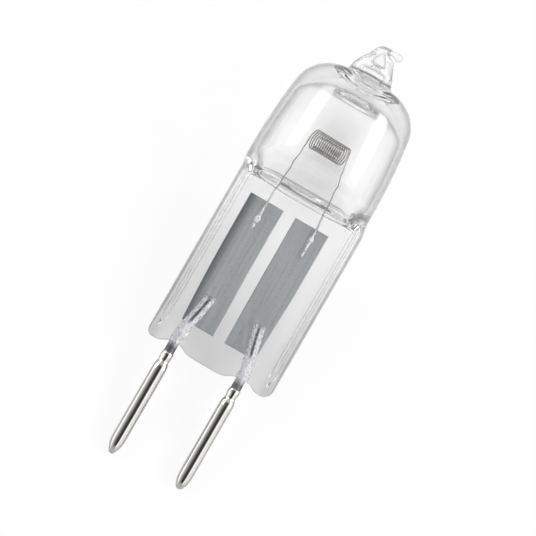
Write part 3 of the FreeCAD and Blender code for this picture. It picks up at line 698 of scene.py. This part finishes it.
# %% Crazed glass
BESIDE_LEAD = (0.58, 0.4)
BESIDE_WELD = (0.4, 0.2)
WELD_CRAZED = (14.4, 13.9)


def crazed_share(points):
    """How crazed the glass is at each point, from 0 to 1: beside each lead where it lies on its
    foil, but not right in front of the wire, all round it below the foil, and along each leg's
    weld. Every limit is a smooth step of the distance or the height."""
    x, y, z = points.T
    share = np.zeros(len(points))
    inside = y > -FACE_HALF / 2
    for side in SIDES:
        lead = through_stations(LEAD_PATHS[side], 300)
        aside = np.abs(x - np.interp(z, lead[:, 1], lead[:, 0]))
        beside = smooth_step(LEAD_CORE * 0.8, LEAD_CORE * 1.6, aside)
        beside = np.maximum(beside, smooth_step(2.7, 2.2, z)) * smooth_step(*BESIDE_LEAD, aside)
        ends = smooth_step(0.6, 1.2, z) * smooth_step(LEAD_TOP + 0.35, LEAD_TOP - 0.3, z)
        leg = through_stations(LEG_STATIONS[side], 240)[::-1]
        aside = np.abs(x - np.interp(z, leg[:, 2], leg[:, 0]))
        weld = smooth_step(*BESIDE_WELD, aside) * smooth_step(*WELD_CRAZED, z) * (z > 11)
        share = np.maximum(share, inside * np.maximum(beside * ends, weld))
    return share


body_points = np.empty(len(quartz.data.vertices) * 3)
quartz.data.vertices.foreach_get("co", body_points)
body_points = (body_points.reshape(-1, 3) - LAMP_ORIGIN) @ LAMP_AXES.T / MM
shares = crazed_share(body_points)
crazing = quartz.data.attributes.new("crazed", "FLOAT", "POINT")
crazing.data.foreach_set("value", shares)
print("crazed glass at", int((shares > 0.5).sum()), "of", len(shares), "points")

# %% [markdown]
# Each lead is a drawn molybdenum wire. Its end is pressed flat against the front of the foil and
# welded there. It uses the same tube as its air gap, only slimmer, with an odd number of columns,
# so that no two of them meet where the half round is closed.

# %% Leads
LEAD_COLUMNS = 29

leads = {side: add_piece(f"lead_wire_{side}", [
    lead_tube(side, LEAD_FOOT, LEAD_TOP, LEAD_RADIUS, LEAD_CORE, LEAD_COLUMNS)])
    for side in SIDES}

# %% [markdown]
# A sealing foil is a ribbon of molybdenum only a few hundredths of a millimetre thick, so it gives
# way when the quartz sets. It is a thin box whose front and back share the same slow buckle, with
# wrinkles that fan out from the weld of the lead.

# %% Sealing foils
FOIL_BOTTOM = 2.45
FOIL_TOP = 14.4
FOIL_RINGS = 150
FOIL_COLUMNS = 40
WRINKLE_DEPTH = 0.035
WRINKLE_REACH = 1.4
BUCKLE_SHARE = 0.6
# Left edge, right edge and height.
FOIL_STATIONS = {
    "left": [(-3.60, -0.62, FOIL_BOTTOM), (-3.74, -0.66, 5.5), (-3.84, -0.72, 9.0),
             (-3.87, -0.72, FOIL_TOP)],
    "right": [(0.46, 3.36, FOIL_BOTTOM), (0.42, 3.44, 5.5), (0.40, 3.54, 9.0),
              (0.38, 3.56, FOIL_TOP)],
}


def foil_grid(side):
    """A flat loop of points, front and back, carried up the foil. Both sides are moved by the
    wrinkles, a wave that fades away from the lead, and by two slow waves of buckle."""
    left, right, height = through_stations(FOIL_STATIONS[side], FOIL_RINGS).T
    share = np.linspace(0, 1, FOIL_COLUMNS)
    loop_share = np.concatenate([share, share[::-1]])
    loop_side = np.repeat([-1.0, 1.0], FOIL_COLUMNS)
    x = left[:, None] + (right - left)[:, None] * loop_share[None, :]
    z = np.repeat(height[:, None], 2 * FOIL_COLUMNS, axis=1)
    lead_x, lead_z = np.array(LEAD_PATHS[side]).T
    aside = x - np.interp(height, lead_z, lead_x)[:, None]
    wrinkle = WRINKLE_DEPTH * smooth_step(6.4, 4.0, z) * np.cos(aside * 7.0 + z * 1.3)
    wrinkle = wrinkle * bell(aside, 0, WRINKLE_REACH)
    buckle = 0.012 * np.sin(z * 0.9 + x * 2.0) + 0.008 * np.sin(z * 2.3 - x * 5.0)
    thickness = np.full(FOIL_RINGS, FOIL_HALF)
    thickness[[0, -1]] = 0
    y = (wrinkle + buckle) * BUCKLE_SHARE + thickness[:, None] * loop_side[None, :]
    return np.stack([x, y, z], axis=-1)


foils = {side: add_piece(f"sealing_foil_{side}", [foil_grid(side)]) for side in SIDES}

# %% [markdown]
# A contact pin is a nickel tube with a pointed end, slipped over the lead and crimped at its open
# end. It is turned like a vase from a profile, and the crimp presses a few flats into the collar.

# %% Contact pins
PIN_RINGS = 260
PIN_COLUMNS = 96
BORE_LIMIT = 0.447
# Depth of the crimp's three flats in the collar and six in the neck, and height and reach of both.
COLLAR_FLATS, COLLAR_SPAN = 0.035, (-0.98, 0.22)
NECK_FLATS, NECK_SPAN = 0.02, (-1.38, 0.12)
# Radius and height of each pin's point and shaft, of the mouth, which sits a little higher on the
# right pin, and of the bore.
PIN_POINTS = {
    "left": [(0.0, -10.2), (0.16, -10.2), (0.21, -10.17), (0.26, -10.08), (0.38, -9.86),
             (0.50, -9.55), (0.585, -9.2), (0.62, -8.8), (0.625, -8.2), (0.625, -5.5)],
    "right": [(0.0, -10.0), (0.10, -9.99), (0.20, -9.95), (0.30, -9.85), (0.42, -9.62),
              (0.52, -9.35), (0.59, -9.0), (0.62, -8.6), (0.625, -8.0), (0.625, -5.5)],
}
PIN_MOUTH = [(0.625, -2.5), (0.62, -2.05), (0.585, -1.72), (0.52, -1.5), (0.485, -1.38),
             (0.50, -1.22), (0.53, -0.98), (0.525, -0.72), (0.50, -0.56), (0.47, -0.52),
             (0.445, -0.56), (0.44, -0.8), (0.44, -1.0)]
MOUTH_RISE = {"left": 0.0, "right": 0.1}
PIN_BORE = [(0.44, -3.0), (0.44, -6.0), (0.44, -9.2), (0.0, -9.25)]


def pin_grid(side):
    """A profile turned round the pin's axis. On its outside the collar is pressed in by a few
    flats, which are powers or waves of the angle under a swell of the height."""
    mouth = [(radius, height + MOUTH_RISE[side]) for radius, height in PIN_MOUTH]
    outline = through_stations(PIN_POINTS[side] + mouth + PIN_BORE, PIN_RINGS)
    radius, height = outline.T[:, :, None]
    radius = np.clip(radius, 0, None)
    angle = (np.arange(PIN_COLUMNS) / PIN_COLUMNS * 2 * math.pi)[None, :]
    outside = radius > BORE_LIMIT
    collar = bell(height, *COLLAR_SPAN) * outside
    neck = bell(height, *NECK_SPAN) * outside
    flats = (COLLAR_FLATS * collar * np.clip(np.cos(3 * angle + 0.4), 0, 1) ** 1.5
             + NECK_FLATS * neck * (0.5 + 0.5 * np.cos(6 * angle)))
    return level_rings(radius - flats, height, angle, PIN_X[side])


pins = {side: add_piece(f"contact_pin_{side}", [pin_grid(side)]) for side in SIDES}

# %% [markdown]
# Materials are small node trees. One helper adds a node, sets its options and either sets or links
# each input. Colours are written as the hex values that a picture shows, and one function turns
# them into the linear values that the shaders need. Patterns are placed in the lamp's own axes,
# and their sizes are millimetres on the real thing.

# %% Material helpers
SMOOTH = {"interpolation_type": "SMOOTHSTEP"}


def linear(hex_colour):
    """sRGB hex to linear: v / 12.92 for dark v, else ((v + 0.055) / 1.055) to the power 2.4."""
    values = np.array([int(hex_colour[place:place + 2], 16) for place in (1, 3, 5)]) / 255
    low = values / 12.92
    high = ((values + 0.055) / 1.055) ** 2.4
    return (*np.where(values <= 0.04045, low, high).tolist(), 1.0)


def add_node(tree, kind, inputs=(), stops=(), **settings):
    """Adds one node, sets its options and a ramp's two stops, and fills its inputs, which come by
    name in a dict or in order in a list. A socket or a node's first output is linked to its
    input, and anything else is set on it."""
    node = tree.nodes.new("ShaderNode" + kind)
    for name, value in settings.items():
        setattr(node, name, value)
    for number, (place, colour) in enumerate(stops):
        node.color_ramp.elements[number].position = place
        node.color_ramp.elements[number].color = linear(colour)
    for name, value in inputs.items() if isinstance(inputs, dict) else enumerate(inputs):
        if isinstance(value, bpy.types.Node):
            value = value.outputs[0]
        if isinstance(value, bpy.types.NodeSocket):
            tree.links.new(value, node.inputs[name])
        else:
            node.inputs[name].default_value = value
    return node


def lamp_coordinates(tree, sizes=(1, 1, 1)):
    """Object coordinates turned to the lamp's axes, with features of the given sizes in mm."""
    place = add_node(tree, "TexCoord")
    turned = add_node(tree, "Mapping", {
        "Vector": place.outputs["Object"], "Rotation": (math.pi / 2 - TILT, 0, 0)})
    return add_node(tree, "Mapping", {
        "Vector": turned, "Scale": tuple(1 / (size * MM) for size in sizes)})


def make_material(name, shade):
    """A material whose surface is what the function shade adds to its node tree."""
    material = bpy.data.materials.new(name)
    material.use_nodes = True
    tree = material.node_tree
    tree.nodes.clear()
    add_node(tree, "OutputMaterial", {"Surface": shade(tree)})
    print(name, "has", len(tree.nodes), "nodes")
    return material


def dress(piece, material, node):
    """Gives a piece its material, attaches it to the root body, and lets it take the place of its
    CAD node, which it hides.
    """
    piece.data.materials.clear()
    piece.data.materials.append(material)
    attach(piece, "root")
    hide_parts(node)


# %% [markdown]
# Fused quartz is clear and colourless. The shader's tint paints shade on it: it darkens the
# outline, the pressed seal's sides and its foot, by a range over the slant of the surface times
# two over the place on the lamp. The slant also makes the reflection fainter, which is painted
# shade too, and with the foot it makes the shadow deeper.

# %% Quartz: how much light passes
SEALED_FROM = (LAMP_ORIGIN @ LAMP_AXES.T)[2] / MM
# Painted shade: the edge, foot and side values below darken the glass's outline, foot and sides.
QUARTZ_TINT = 0.985
# Share of light at the end of each range, and the range: slant, slant, slant, mm, mm.
EDGE_PAINTED_SHADE, EDGE_PAINTED_SHADE_SLANT = 0.3, (0.5, 0.74)
EDGE_GLOSS, EDGE_GLOSS_SLANT = 0.3, (0.45, 0.75)
QUARTZ_SHADOW, EDGE_SHADOW, EDGE_SHADOW_SLANT = 0.95, 0.3, (0.4, 0.95)
FOOT_SHADE, FOOT_REACH = 0.9, (SEALED_FROM - 1, SEALED_FROM + 12)
SIDE_PAINTED_SHADE, SIDE_REACH = 0.76, (4.2, 5.7)


def foot_shade(tree, place):
    """Light that passes near the foot of the seal, which paints shade into the glass and deepens
    the shadow: a smooth rise with the height.
    """
    return add_node(tree, "MapRange", [place.outputs["Z"], *FOOT_REACH, FOOT_SHADE, 1.0], **SMOOTH)


def side_painted_shade(tree, place):
    """Light that passes at the seal's sides, as painted shade: a smooth fall with the distance
    from the middle, which is deepest at the foot and gone at the top of the seal."""
    aside = add_node(tree, "Math", [place.outputs["X"]], operation="ABSOLUTE")
    depth = add_node(tree, "MapRange", [
        place.outputs["Z"], SEALED_FROM + 1, SEALED_FROM + SEAL_HEIGHT, SIDE_PAINTED_SHADE, 1.0])
    return add_node(tree, "MapRange", [aside, *SIDE_REACH, 1.0, depth], **SMOOTH)


print("the seal starts", round(SEALED_FROM, 2), "mm along the lamp's axis")

# %% [markdown]
# Flame-worked quartz keeps faint draw lines along the tube, which only show as slight waves in
# what lies behind, so a weak bump carries them. The crazed flakes are matt and white, broken up by
# a fine noise. Two kinds of ray go straight on: shadow rays, because a path tracer can't find
# lamps through refracting glass and would leave the foils in the dark, and rays that were
# reflected inside the glass three times, because the renderer would end them as black specks.

# %% Fused quartz
QUARTZ_IOR = 1.458
DRAW_LINE_SIZE = (1.2, 1.2, 9.0)
FLAKE_SIZE = (0.13, 0.13, 0.2)
TRAPPED_AFTER = 2.5


def quartz_glass(tree, slant, share):
    """Clear glass with faint draw lines, tinted by the share of light that passes, which paints
    shade at its outline, sides and foot.
    """
    draw_lines = add_node(tree, "TexNoise", {
        "Vector": lamp_coordinates(tree, DRAW_LINE_SIZE), "Scale": 1.0, "Detail": 2.0})
    waves = add_node(tree, "Bump", {
        "Height": draw_lines, "Strength": 0.12, "Distance": 0.02 * MM})
    # Painted shade: darker at the outline by the slant, and at the foot and sides by the share.
    edge = add_node(tree, "MapRange", [slant, *EDGE_PAINTED_SHADE_SLANT, QUARTZ_TINT, EDGE_PAINTED_SHADE])
    tint_and_painted_shade = add_node(tree, "Math", [edge, share], operation="MULTIPLY")
    # Painted shade on the reflection: it is fainter at the outline.
    gloss = add_node(tree, "MapRange", [slant, *EDGE_GLOSS_SLANT, 1.0, EDGE_GLOSS])
    return add_node(tree, "BsdfPrincipled", {
        "Base Color": tint_and_painted_shade, "Roughness": 0.0, "IOR": QUARTZ_IOR, "Specular Tint": gloss,
        "Transmission Weight": 1.0, "Normal": waves})


def straight_on(tree):
    """1 for a shadow ray and for a ray that is trapped in the glass, and 0 for any other."""
    rays = add_node(tree, "LightPath")
    trapped = add_node(tree, "Math", [rays.outputs["Glossy Depth"], TRAPPED_AFTER],
                       operation="GREATER_THAN")
    return add_node(tree, "Math", [rays.outputs["Is Shadow Ray"], trapped],
                    operation="MAXIMUM")


def fused_quartz(tree):
    """Glass mixed with white flakes where it is crazed, and see-through for straight rays."""
    slant = add_node(tree, "LayerWeight", {"Blend": 0.5}).outputs["Facing"]
    place = add_node(tree, "SeparateXYZ", [lamp_coordinates(tree)])
    # The foot's share paints shade into the glass and also deepens its shadow.
    foot = foot_shade(tree, place)
    share = add_node(tree, "Math", [foot, side_painted_shade(tree, place)], operation="MULTIPLY")
    glass = quartz_glass(tree, slant, share)
    flakes = add_node(tree, "TexNoise", {
        "Vector": lamp_coordinates(tree, FLAKE_SIZE), "Scale": 1.0, "Detail": 2.0})
    lifted = add_node(tree, "MapRange", [flakes, 0.38, 0.5])
    crazed = add_node(tree, "Attribute", attribute_name="crazed")
    white = add_node(tree, "Math", [crazed.outputs["Fac"], lifted], operation="MULTIPLY")
    flake = add_node(tree, "BsdfDiffuse", {"Color": linear("#fcfcff")})
    body = add_node(tree, "MixShader", [white, glass, flake])
    edge = add_node(tree, "MapRange", [slant, *EDGE_SHADOW_SLANT, QUARTZ_SHADOW, EDGE_SHADOW])
    shade = add_node(tree, "Math", [edge, foot], operation="MULTIPLY")
    clear = add_node(tree, "BsdfTransparent", {"Color": shade})
    return add_node(tree, "MixShader", [straight_on(tree), body, clear])


dress(quartz, make_material("fused_quartz", fused_quartz), "quartz_envelope")

# %% [markdown]
# The pins are drawn nickel tube, polished by the drawing die: a bright metal with very fine lines
# along its length, which stretch highlights lengthwise and break them up a little. Real die lines
# are a few hundredths of a millimetre apart, and these are drawn at 0.12 mm so that they show.

# %% Drawn nickel
def drawn_nickel(tree):
    """Metal whose colour changes in slow patches, and its roughness and bump along fine lines."""
    lines = add_node(tree, "TexNoise", {
        "Vector": lamp_coordinates(tree, (0.12, 0.12, 6.0)), "Scale": 1.0, "Detail": 3.0})
    patches = add_node(tree, "TexNoise", {
        "Vector": lamp_coordinates(tree, (0.9, 0.9, 2.4)), "Scale": 1.0, "Detail": 2.0})
    colour = add_node(tree, "ValToRGB", [patches], [(0.3, "#cfcdc9"), (0.7, "#dddbd7")])
    roughness = add_node(tree, "MapRange", [lines, 0.3, 0.7, 0.1, 0.15])
    bump = add_node(tree, "Bump", {"Height": lines, "Strength": 0.03, "Distance": 0.003 * MM})
    return add_node(tree, "BsdfPrincipled", {
        "Base Color": colour, "Metallic": 1.0, "Roughness": roughness, "Normal": bump})


nickel = make_material("drawn_nickel", drawn_nickel)
for side, pin in pins.items():
    dress(pin, nickel, f"pin_{side}")

# %% [markdown]
# Molybdenum wire comes from the die darker than nickel, with coarser streaks along it. Between the
# foot of the seal and the foil it is painted nearly white, a painted reflection of the silvery air
# gap round it.

# %% Drawn molybdenum
# Heights over which the painted reflection of the air gap rises and falls away on the lead.
PAINTED_GLINT_RISE = (SEALED_FROM, SEALED_FROM + 0.5)
PAINTED_GLINT_FALL = (SEALED_FROM + 2.3, SEALED_FROM + 2.9)


def drawn_molybdenum(tree):
    """Streaky metal, dull outside the seal and on the foil, and painted bright between the two as
    a reflection of the air gap.
    """
    streaks = add_node(tree, "TexNoise", {
        "Vector": lamp_coordinates(tree, (0.16, 0.16, 5.0)), "Scale": 1.0, "Detail": 3.0})
    dull = add_node(tree, "ValToRGB", [streaks], [(0.3, "#606266"), (0.7, "#888a8e")])
    # Painted reflection: nearly white, standing in for the silvery air gap round the lead.
    bright = add_node(tree, "ValToRGB", [streaks], [(0.3, "#e2e0ea"), (0.7, "#f2f0f8")])
    height = add_node(tree, "SeparateXYZ", [lamp_coordinates(tree)]).outputs["Z"]
    sealed = add_node(tree, "MapRange", [height, *PAINTED_GLINT_RISE])
    welded = add_node(tree, "MapRange", [height, *PAINTED_GLINT_FALL, 1.0, 0.0])
    painted_glint = add_node(tree, "Math", [sealed, welded], operation="MULTIPLY")
    colour = add_node(tree, "Mix", {0: painted_glint, 6: dull, 7: bright}, data_type="RGBA").outputs[2]
    roughness = add_node(tree, "MapRange", [streaks, 0.3, 0.7, 0.48, 0.6])
    bump = add_node(tree, "Bump", {"Height": streaks, "Strength": 0.4, "Distance": 0.02 * MM})
    return add_node(tree, "BsdfPrincipled", {
        "Base Color": colour, "Metallic": 1.0, "Roughness": roughness, "Normal": bump})


molybdenum = make_material("drawn_molybdenum", drawn_molybdenum)
for side, lead in leads.items():
    dress(lead, molybdenum, f"lead_{side}")

# %% [markdown]
# The foils were rolled and etched, so they are matt and slightly mottled, with faint rolling marks
# along them. A rough metal with a fine grain and long soft streaks gives that dull grey. The grain
# of a real etch is a few hundredths of a millimetre and is drawn at 0.09 mm here. The outer side
# of the left foil is darker.

# %% Rolled and etched molybdenum foil
DARK_SIDE = (-3.95, -2.7)


def etched_foil(tree):
    """Matt metal whose colour and bump follow the sum of a fine grain and long streaks."""
    grain = add_node(tree, "TexNoise", {
        "Vector": lamp_coordinates(tree, (0.09, 0.09, 0.13)), "Scale": 1.0, "Detail": 2.0})
    streaks = add_node(tree, "TexNoise", {
        "Vector": lamp_coordinates(tree, (0.3, 0.3, 9.0)), "Scale": 1.0, "Detail": 2.0})
    both = add_node(tree, "Math", [grain, streaks], operation="ADD")
    etched = add_node(tree, "ValToRGB", [both], [(0.75, "#b2b7b9"), (1.0, "#c8ccce")])
    place = add_node(tree, "SeparateXYZ", [lamp_coordinates(tree)])
    edge = add_node(tree, "MapRange", [place.outputs["X"], *DARK_SIDE, 0.75, 0.0], **SMOOTH)
    colour = add_node(tree, "Mix", {0: edge, 6: etched, 7: linear("#53585b")},
                      data_type="RGBA").outputs[2]
    bump = add_node(tree, "Bump", {"Height": both, "Strength": 0.35, "Distance": 0.01 * MM})
    return add_node(tree, "BsdfPrincipled", {
        "Base Color": colour, "Metallic": 1.0, "Roughness": 0.55, "Normal": bump})


foil_material = make_material("etched_molybdenum_foil", etched_foil)
for side, foil in foils.items():
    dress(foil, foil_material, f"foil_{side}")

# %% [markdown]
# Tungsten wire that has been heated recrystallises. It is grey with a slightly warm sheen, and its
# crystals, a tenth of a millimetre or so long, give it faint patches.

# %% Tungsten wire
def tungsten_wire(tree):
    """Fairly smooth metal with patches of two greys."""
    crystals = add_node(tree, "TexNoise", {
        "Vector": lamp_coordinates(tree, (0.15, 0.15, 0.15)), "Scale": 1.0, "Detail": 2.0})
    colour = add_node(tree, "ValToRGB", [crystals], [(0.3, "#aaa7a3"), (0.7, "#cfccc8")])
    return add_node(tree, "BsdfPrincipled", {
        "Base Color": colour, "Metallic": 1.0, "Roughness": 0.2})


dress(filament, make_material("tungsten_wire", tungsten_wire), "filament")

# %% [markdown]
# Glass and polished metal show their surroundings more than themselves, so the studio is part of
# the material. The world is a light tent: bright panels to the left and to the right of the lamp,
# even ends, and a dark gap overhead where the camera looks in. That gap gives the pins their
# black core line, and the panels give the long white streaks on the bulb. Directions are measured
# round the lamp's long axis.

# %% Panels of the light tent
# Degrees round the lamp from straight overhead, to the left negative, and the brightness.
TENT_STOPS = [
    (-180, 0.6), (-100, 2.2), (-82, 2.0), (-70, 1.2), (-55, 0.75), (-30, 0.3), (-8, 0.06),
    (20, 0.03), (27, 0.35), (36, 1.4), (58, 1.3), (70, 0.75), (84, 1.6), (100, 1.8), (180, 0.5),
]
# How far a direction points along the lamp where each end takes over, and the ends' brightness.
TENT_TIP_OVER, TENT_TIP_LEVEL = (0.14, 0.34), 0.7
TENT_PIN_OVER, TENT_PIN_LEVEL = (-0.5, -0.8), 0.6


def tent_panels(tree, parts):
    """Brightness by the angle round the lamp, the arc tangent of the direction's two parts across
    it, read off a curve through the stops. Towards each end it blends into that end's level."""
    towards = add_node(tree, "Math", [parts.outputs["Y"], -1.0], operation="MULTIPLY")
    angle = add_node(tree, "Math", [parts.outputs["X"], towards], operation="ARCTAN2")
    share = add_node(tree, "MapRange", [angle, -math.pi, math.pi])
    panels = add_node(tree, "FloatCurve", {"Value": share})
    curve = panels.mapping.curves[0]
    top_level = max(level for _, level in TENT_STOPS)
    places = [((degrees + 180) / 360, level / top_level) for degrees, level in TENT_STOPS]
    curve.points[0].location, curve.points[-1].location = places[0], places[-1]
    for place in places[1:-1]:
        curve.points.new(*place)
    for point in curve.points:
        point.handle_type = "VECTOR"
    panels.mapping.update()
    level = add_node(tree, "Math", [panels, top_level], operation="MULTIPLY")
    for over, end_level in ((TENT_TIP_OVER, TENT_TIP_LEVEL), (TENT_PIN_OVER, TENT_PIN_LEVEL)):
        end = add_node(tree, "MapRange", [parts.outputs["Z"], *over], **SMOOTH)
        level = add_node(tree, "Mix", {0: end, 2: level, 3: end_level}, data_type="FLOAT")
    return level


# %% [markdown]
# Two soft boxes stand low at the sides, one mirrored from the other and the left one weaker. Each
# gives a small bright highlight with a soft edge. They are part of the world, so nothing has to
# stand in the picture, and their glow ends smoothly.

# %% Soft boxes
# Where the box stands, how much it is stretched along the lamp, the degrees from its middle at
# which its glow is gone and at which it is full, its brightness, and the left box's share of it.
BOX_DIRECTION = (0.81, -0.47, 0.36)
BOX_STRETCH = 1.5
BOX_EDGE = math.radians(16)
BOX_FULL = math.radians(7)
BOX_LEVEL = 11.0
LEFT_BOX_SHARE = 0.5


def soft_boxes(tree, parts):
    """Brightness by the cosine between a direction and the box's middle, the dot product of the
    two once both are squeezed along the lamp. The absolute X mirrors the box."""
    sideways = add_node(tree, "Math", [parts.outputs["X"]], operation="ABSOLUTE")
    mirrored = add_node(tree, "CombineXYZ", [
        sideways, parts.outputs["Y"], parts.outputs["Z"]])
    squeeze = (1.0, 1.0, 1 / BOX_STRETCH)
    squeezed = add_node(tree, "VectorMath", [mirrored, squeeze], operation="MULTIPLY")
    way = add_node(tree, "VectorMath", [squeezed], operation="NORMALIZE")
    box_way = tuple(unit(np.array(BOX_DIRECTION) * squeeze))
    near = add_node(tree, "VectorMath", [way, box_way], operation="DOT_PRODUCT")
    box = add_node(tree, "MapRange", [
        near.outputs["Value"], math.cos(BOX_EDGE), math.cos(BOX_FULL), 0.0, BOX_LEVEL], **SMOOTH)
    share = add_node(tree, "MapRange", [parts.outputs["X"], -0.01, 0.01, LEFT_BOX_SHARE, 1.0])
    return add_node(tree, "Math", [box, share], operation="MULTIPLY")


# %% [markdown]
# The world adds the boxes to the panels. Rays that come through the glass see the sum only up to a
# cap, so that the boxes glint on the surface and don't burn out the tip behind it. The camera
# itself sees plain white behind everything.

# %% World
THROUGH_GLASS_LEVEL = 1.1
WHITE = (1, 1, 1, 1)

world = bpy.data.worlds.new("light_tent")
bpy.context.scene.world = world
world.use_nodes = True
tree = world.node_tree
tree.nodes.clear()
direction = add_node(tree, "TexCoord").outputs["Generated"]
turned = add_node(tree, "Mapping", {"Vector": direction, "Rotation": (math.pi / 2 - TILT, 0, 0)})
parts = add_node(tree, "SeparateXYZ", [turned])
total = add_node(tree, "Math", [tent_panels(tree, parts), soft_boxes(tree, parts)],
                 operation="ADD")
capped = add_node(tree, "Math", [total, THROUGH_GLASS_LEVEL], operation="MINIMUM")
rays = add_node(tree, "LightPath")
strength = add_node(tree, "Mix", {
    0: rays.outputs["Is Transmission Ray"], 2: total, 3: capped}, data_type="FLOAT")
tent = add_node(tree, "Background", {"Color": WHITE, "Strength": strength})
white = add_node(tree, "Background", {"Color": WHITE, "Strength": 1.0})
mixed = add_node(tree, "MixShader", [rays.outputs["Is Camera Ray"], tent, white])
add_node(tree, "OutputWorld", {"Surface": mixed})
print("the light tent has", len(tree.nodes), "nodes")

# %% [markdown]
# The lamp lies on a wide pale floor. To the camera most of it glows at exactly white, and the rest
# is a matt surface that keeps the soft shadow. Rays that glass and metal send on see a smaller
# glow, and a weaker one the flatter they meet the floor. So the glass is clear where one looks
# through it squarely, and its outline, which bends rays far aside, stays grey.

# %% Floor
FLOOR_HALF = 1.5
SEEN_SHARE = 0.9
PASSED_SHARE = 0.35
GLOW_SLANT = (0.02, 0.7)
FLAT_GLOW = 0.05


def pale_floor(tree):
    """Matt grey-white mixed with a white glow, by a share that depends on the kind of ray."""
    matt = add_node(tree, "BsdfDiffuse", {"Color": linear("#f2f2f2")})
    slant = add_node(tree, "LayerWeight", {"Blend": 0.5}).outputs["Facing"]
    level = add_node(tree, "MapRange", [slant, *GLOW_SLANT, 1.0, FLAT_GLOW])
    rays = add_node(tree, "LightPath")
    strength = add_node(tree, "Math", [level, rays.outputs["Is Camera Ray"]],
                        operation="MAXIMUM")
    glow = add_node(tree, "Emission", {"Color": WHITE, "Strength": strength})
    sent_on = add_node(tree, "Math", [
        rays.outputs["Is Glossy Ray"], rays.outputs["Is Transmission Ray"]], operation="MAXIMUM")
    passed = add_node(tree, "Math", [sent_on, PASSED_SHARE], operation="MULTIPLY")
    seen = add_node(tree, "Math", [rays.outputs["Is Camera Ray"], SEEN_SHARE],
                    operation="MULTIPLY")
    amount = add_node(tree, "Math", [seen, passed], operation="MAXIMUM")
    return add_node(tree, "MixShader", [amount, matt, glow])


corners = [(x * FLOOR_HALF, y * FLOOR_HALF, 0) for x, y in ((-1, -1), (1, -1), (1, 1), (-1, 1))]
floor_mesh = bpy.data.meshes.new("floor")
floor_mesh.from_pydata(corners, [], [(0, 1, 2, 3)])
floor = bpy.data.objects.new("floor", floor_mesh)
bpy.context.scene.collection.objects.link(floor)
floor_mesh.materials.append(make_material("pale_floor", pale_floor))

# %% [markdown]
# The last cell updates the view layer and hands the scene over.

# %% Hand-over
bpy.context.view_layer.update()
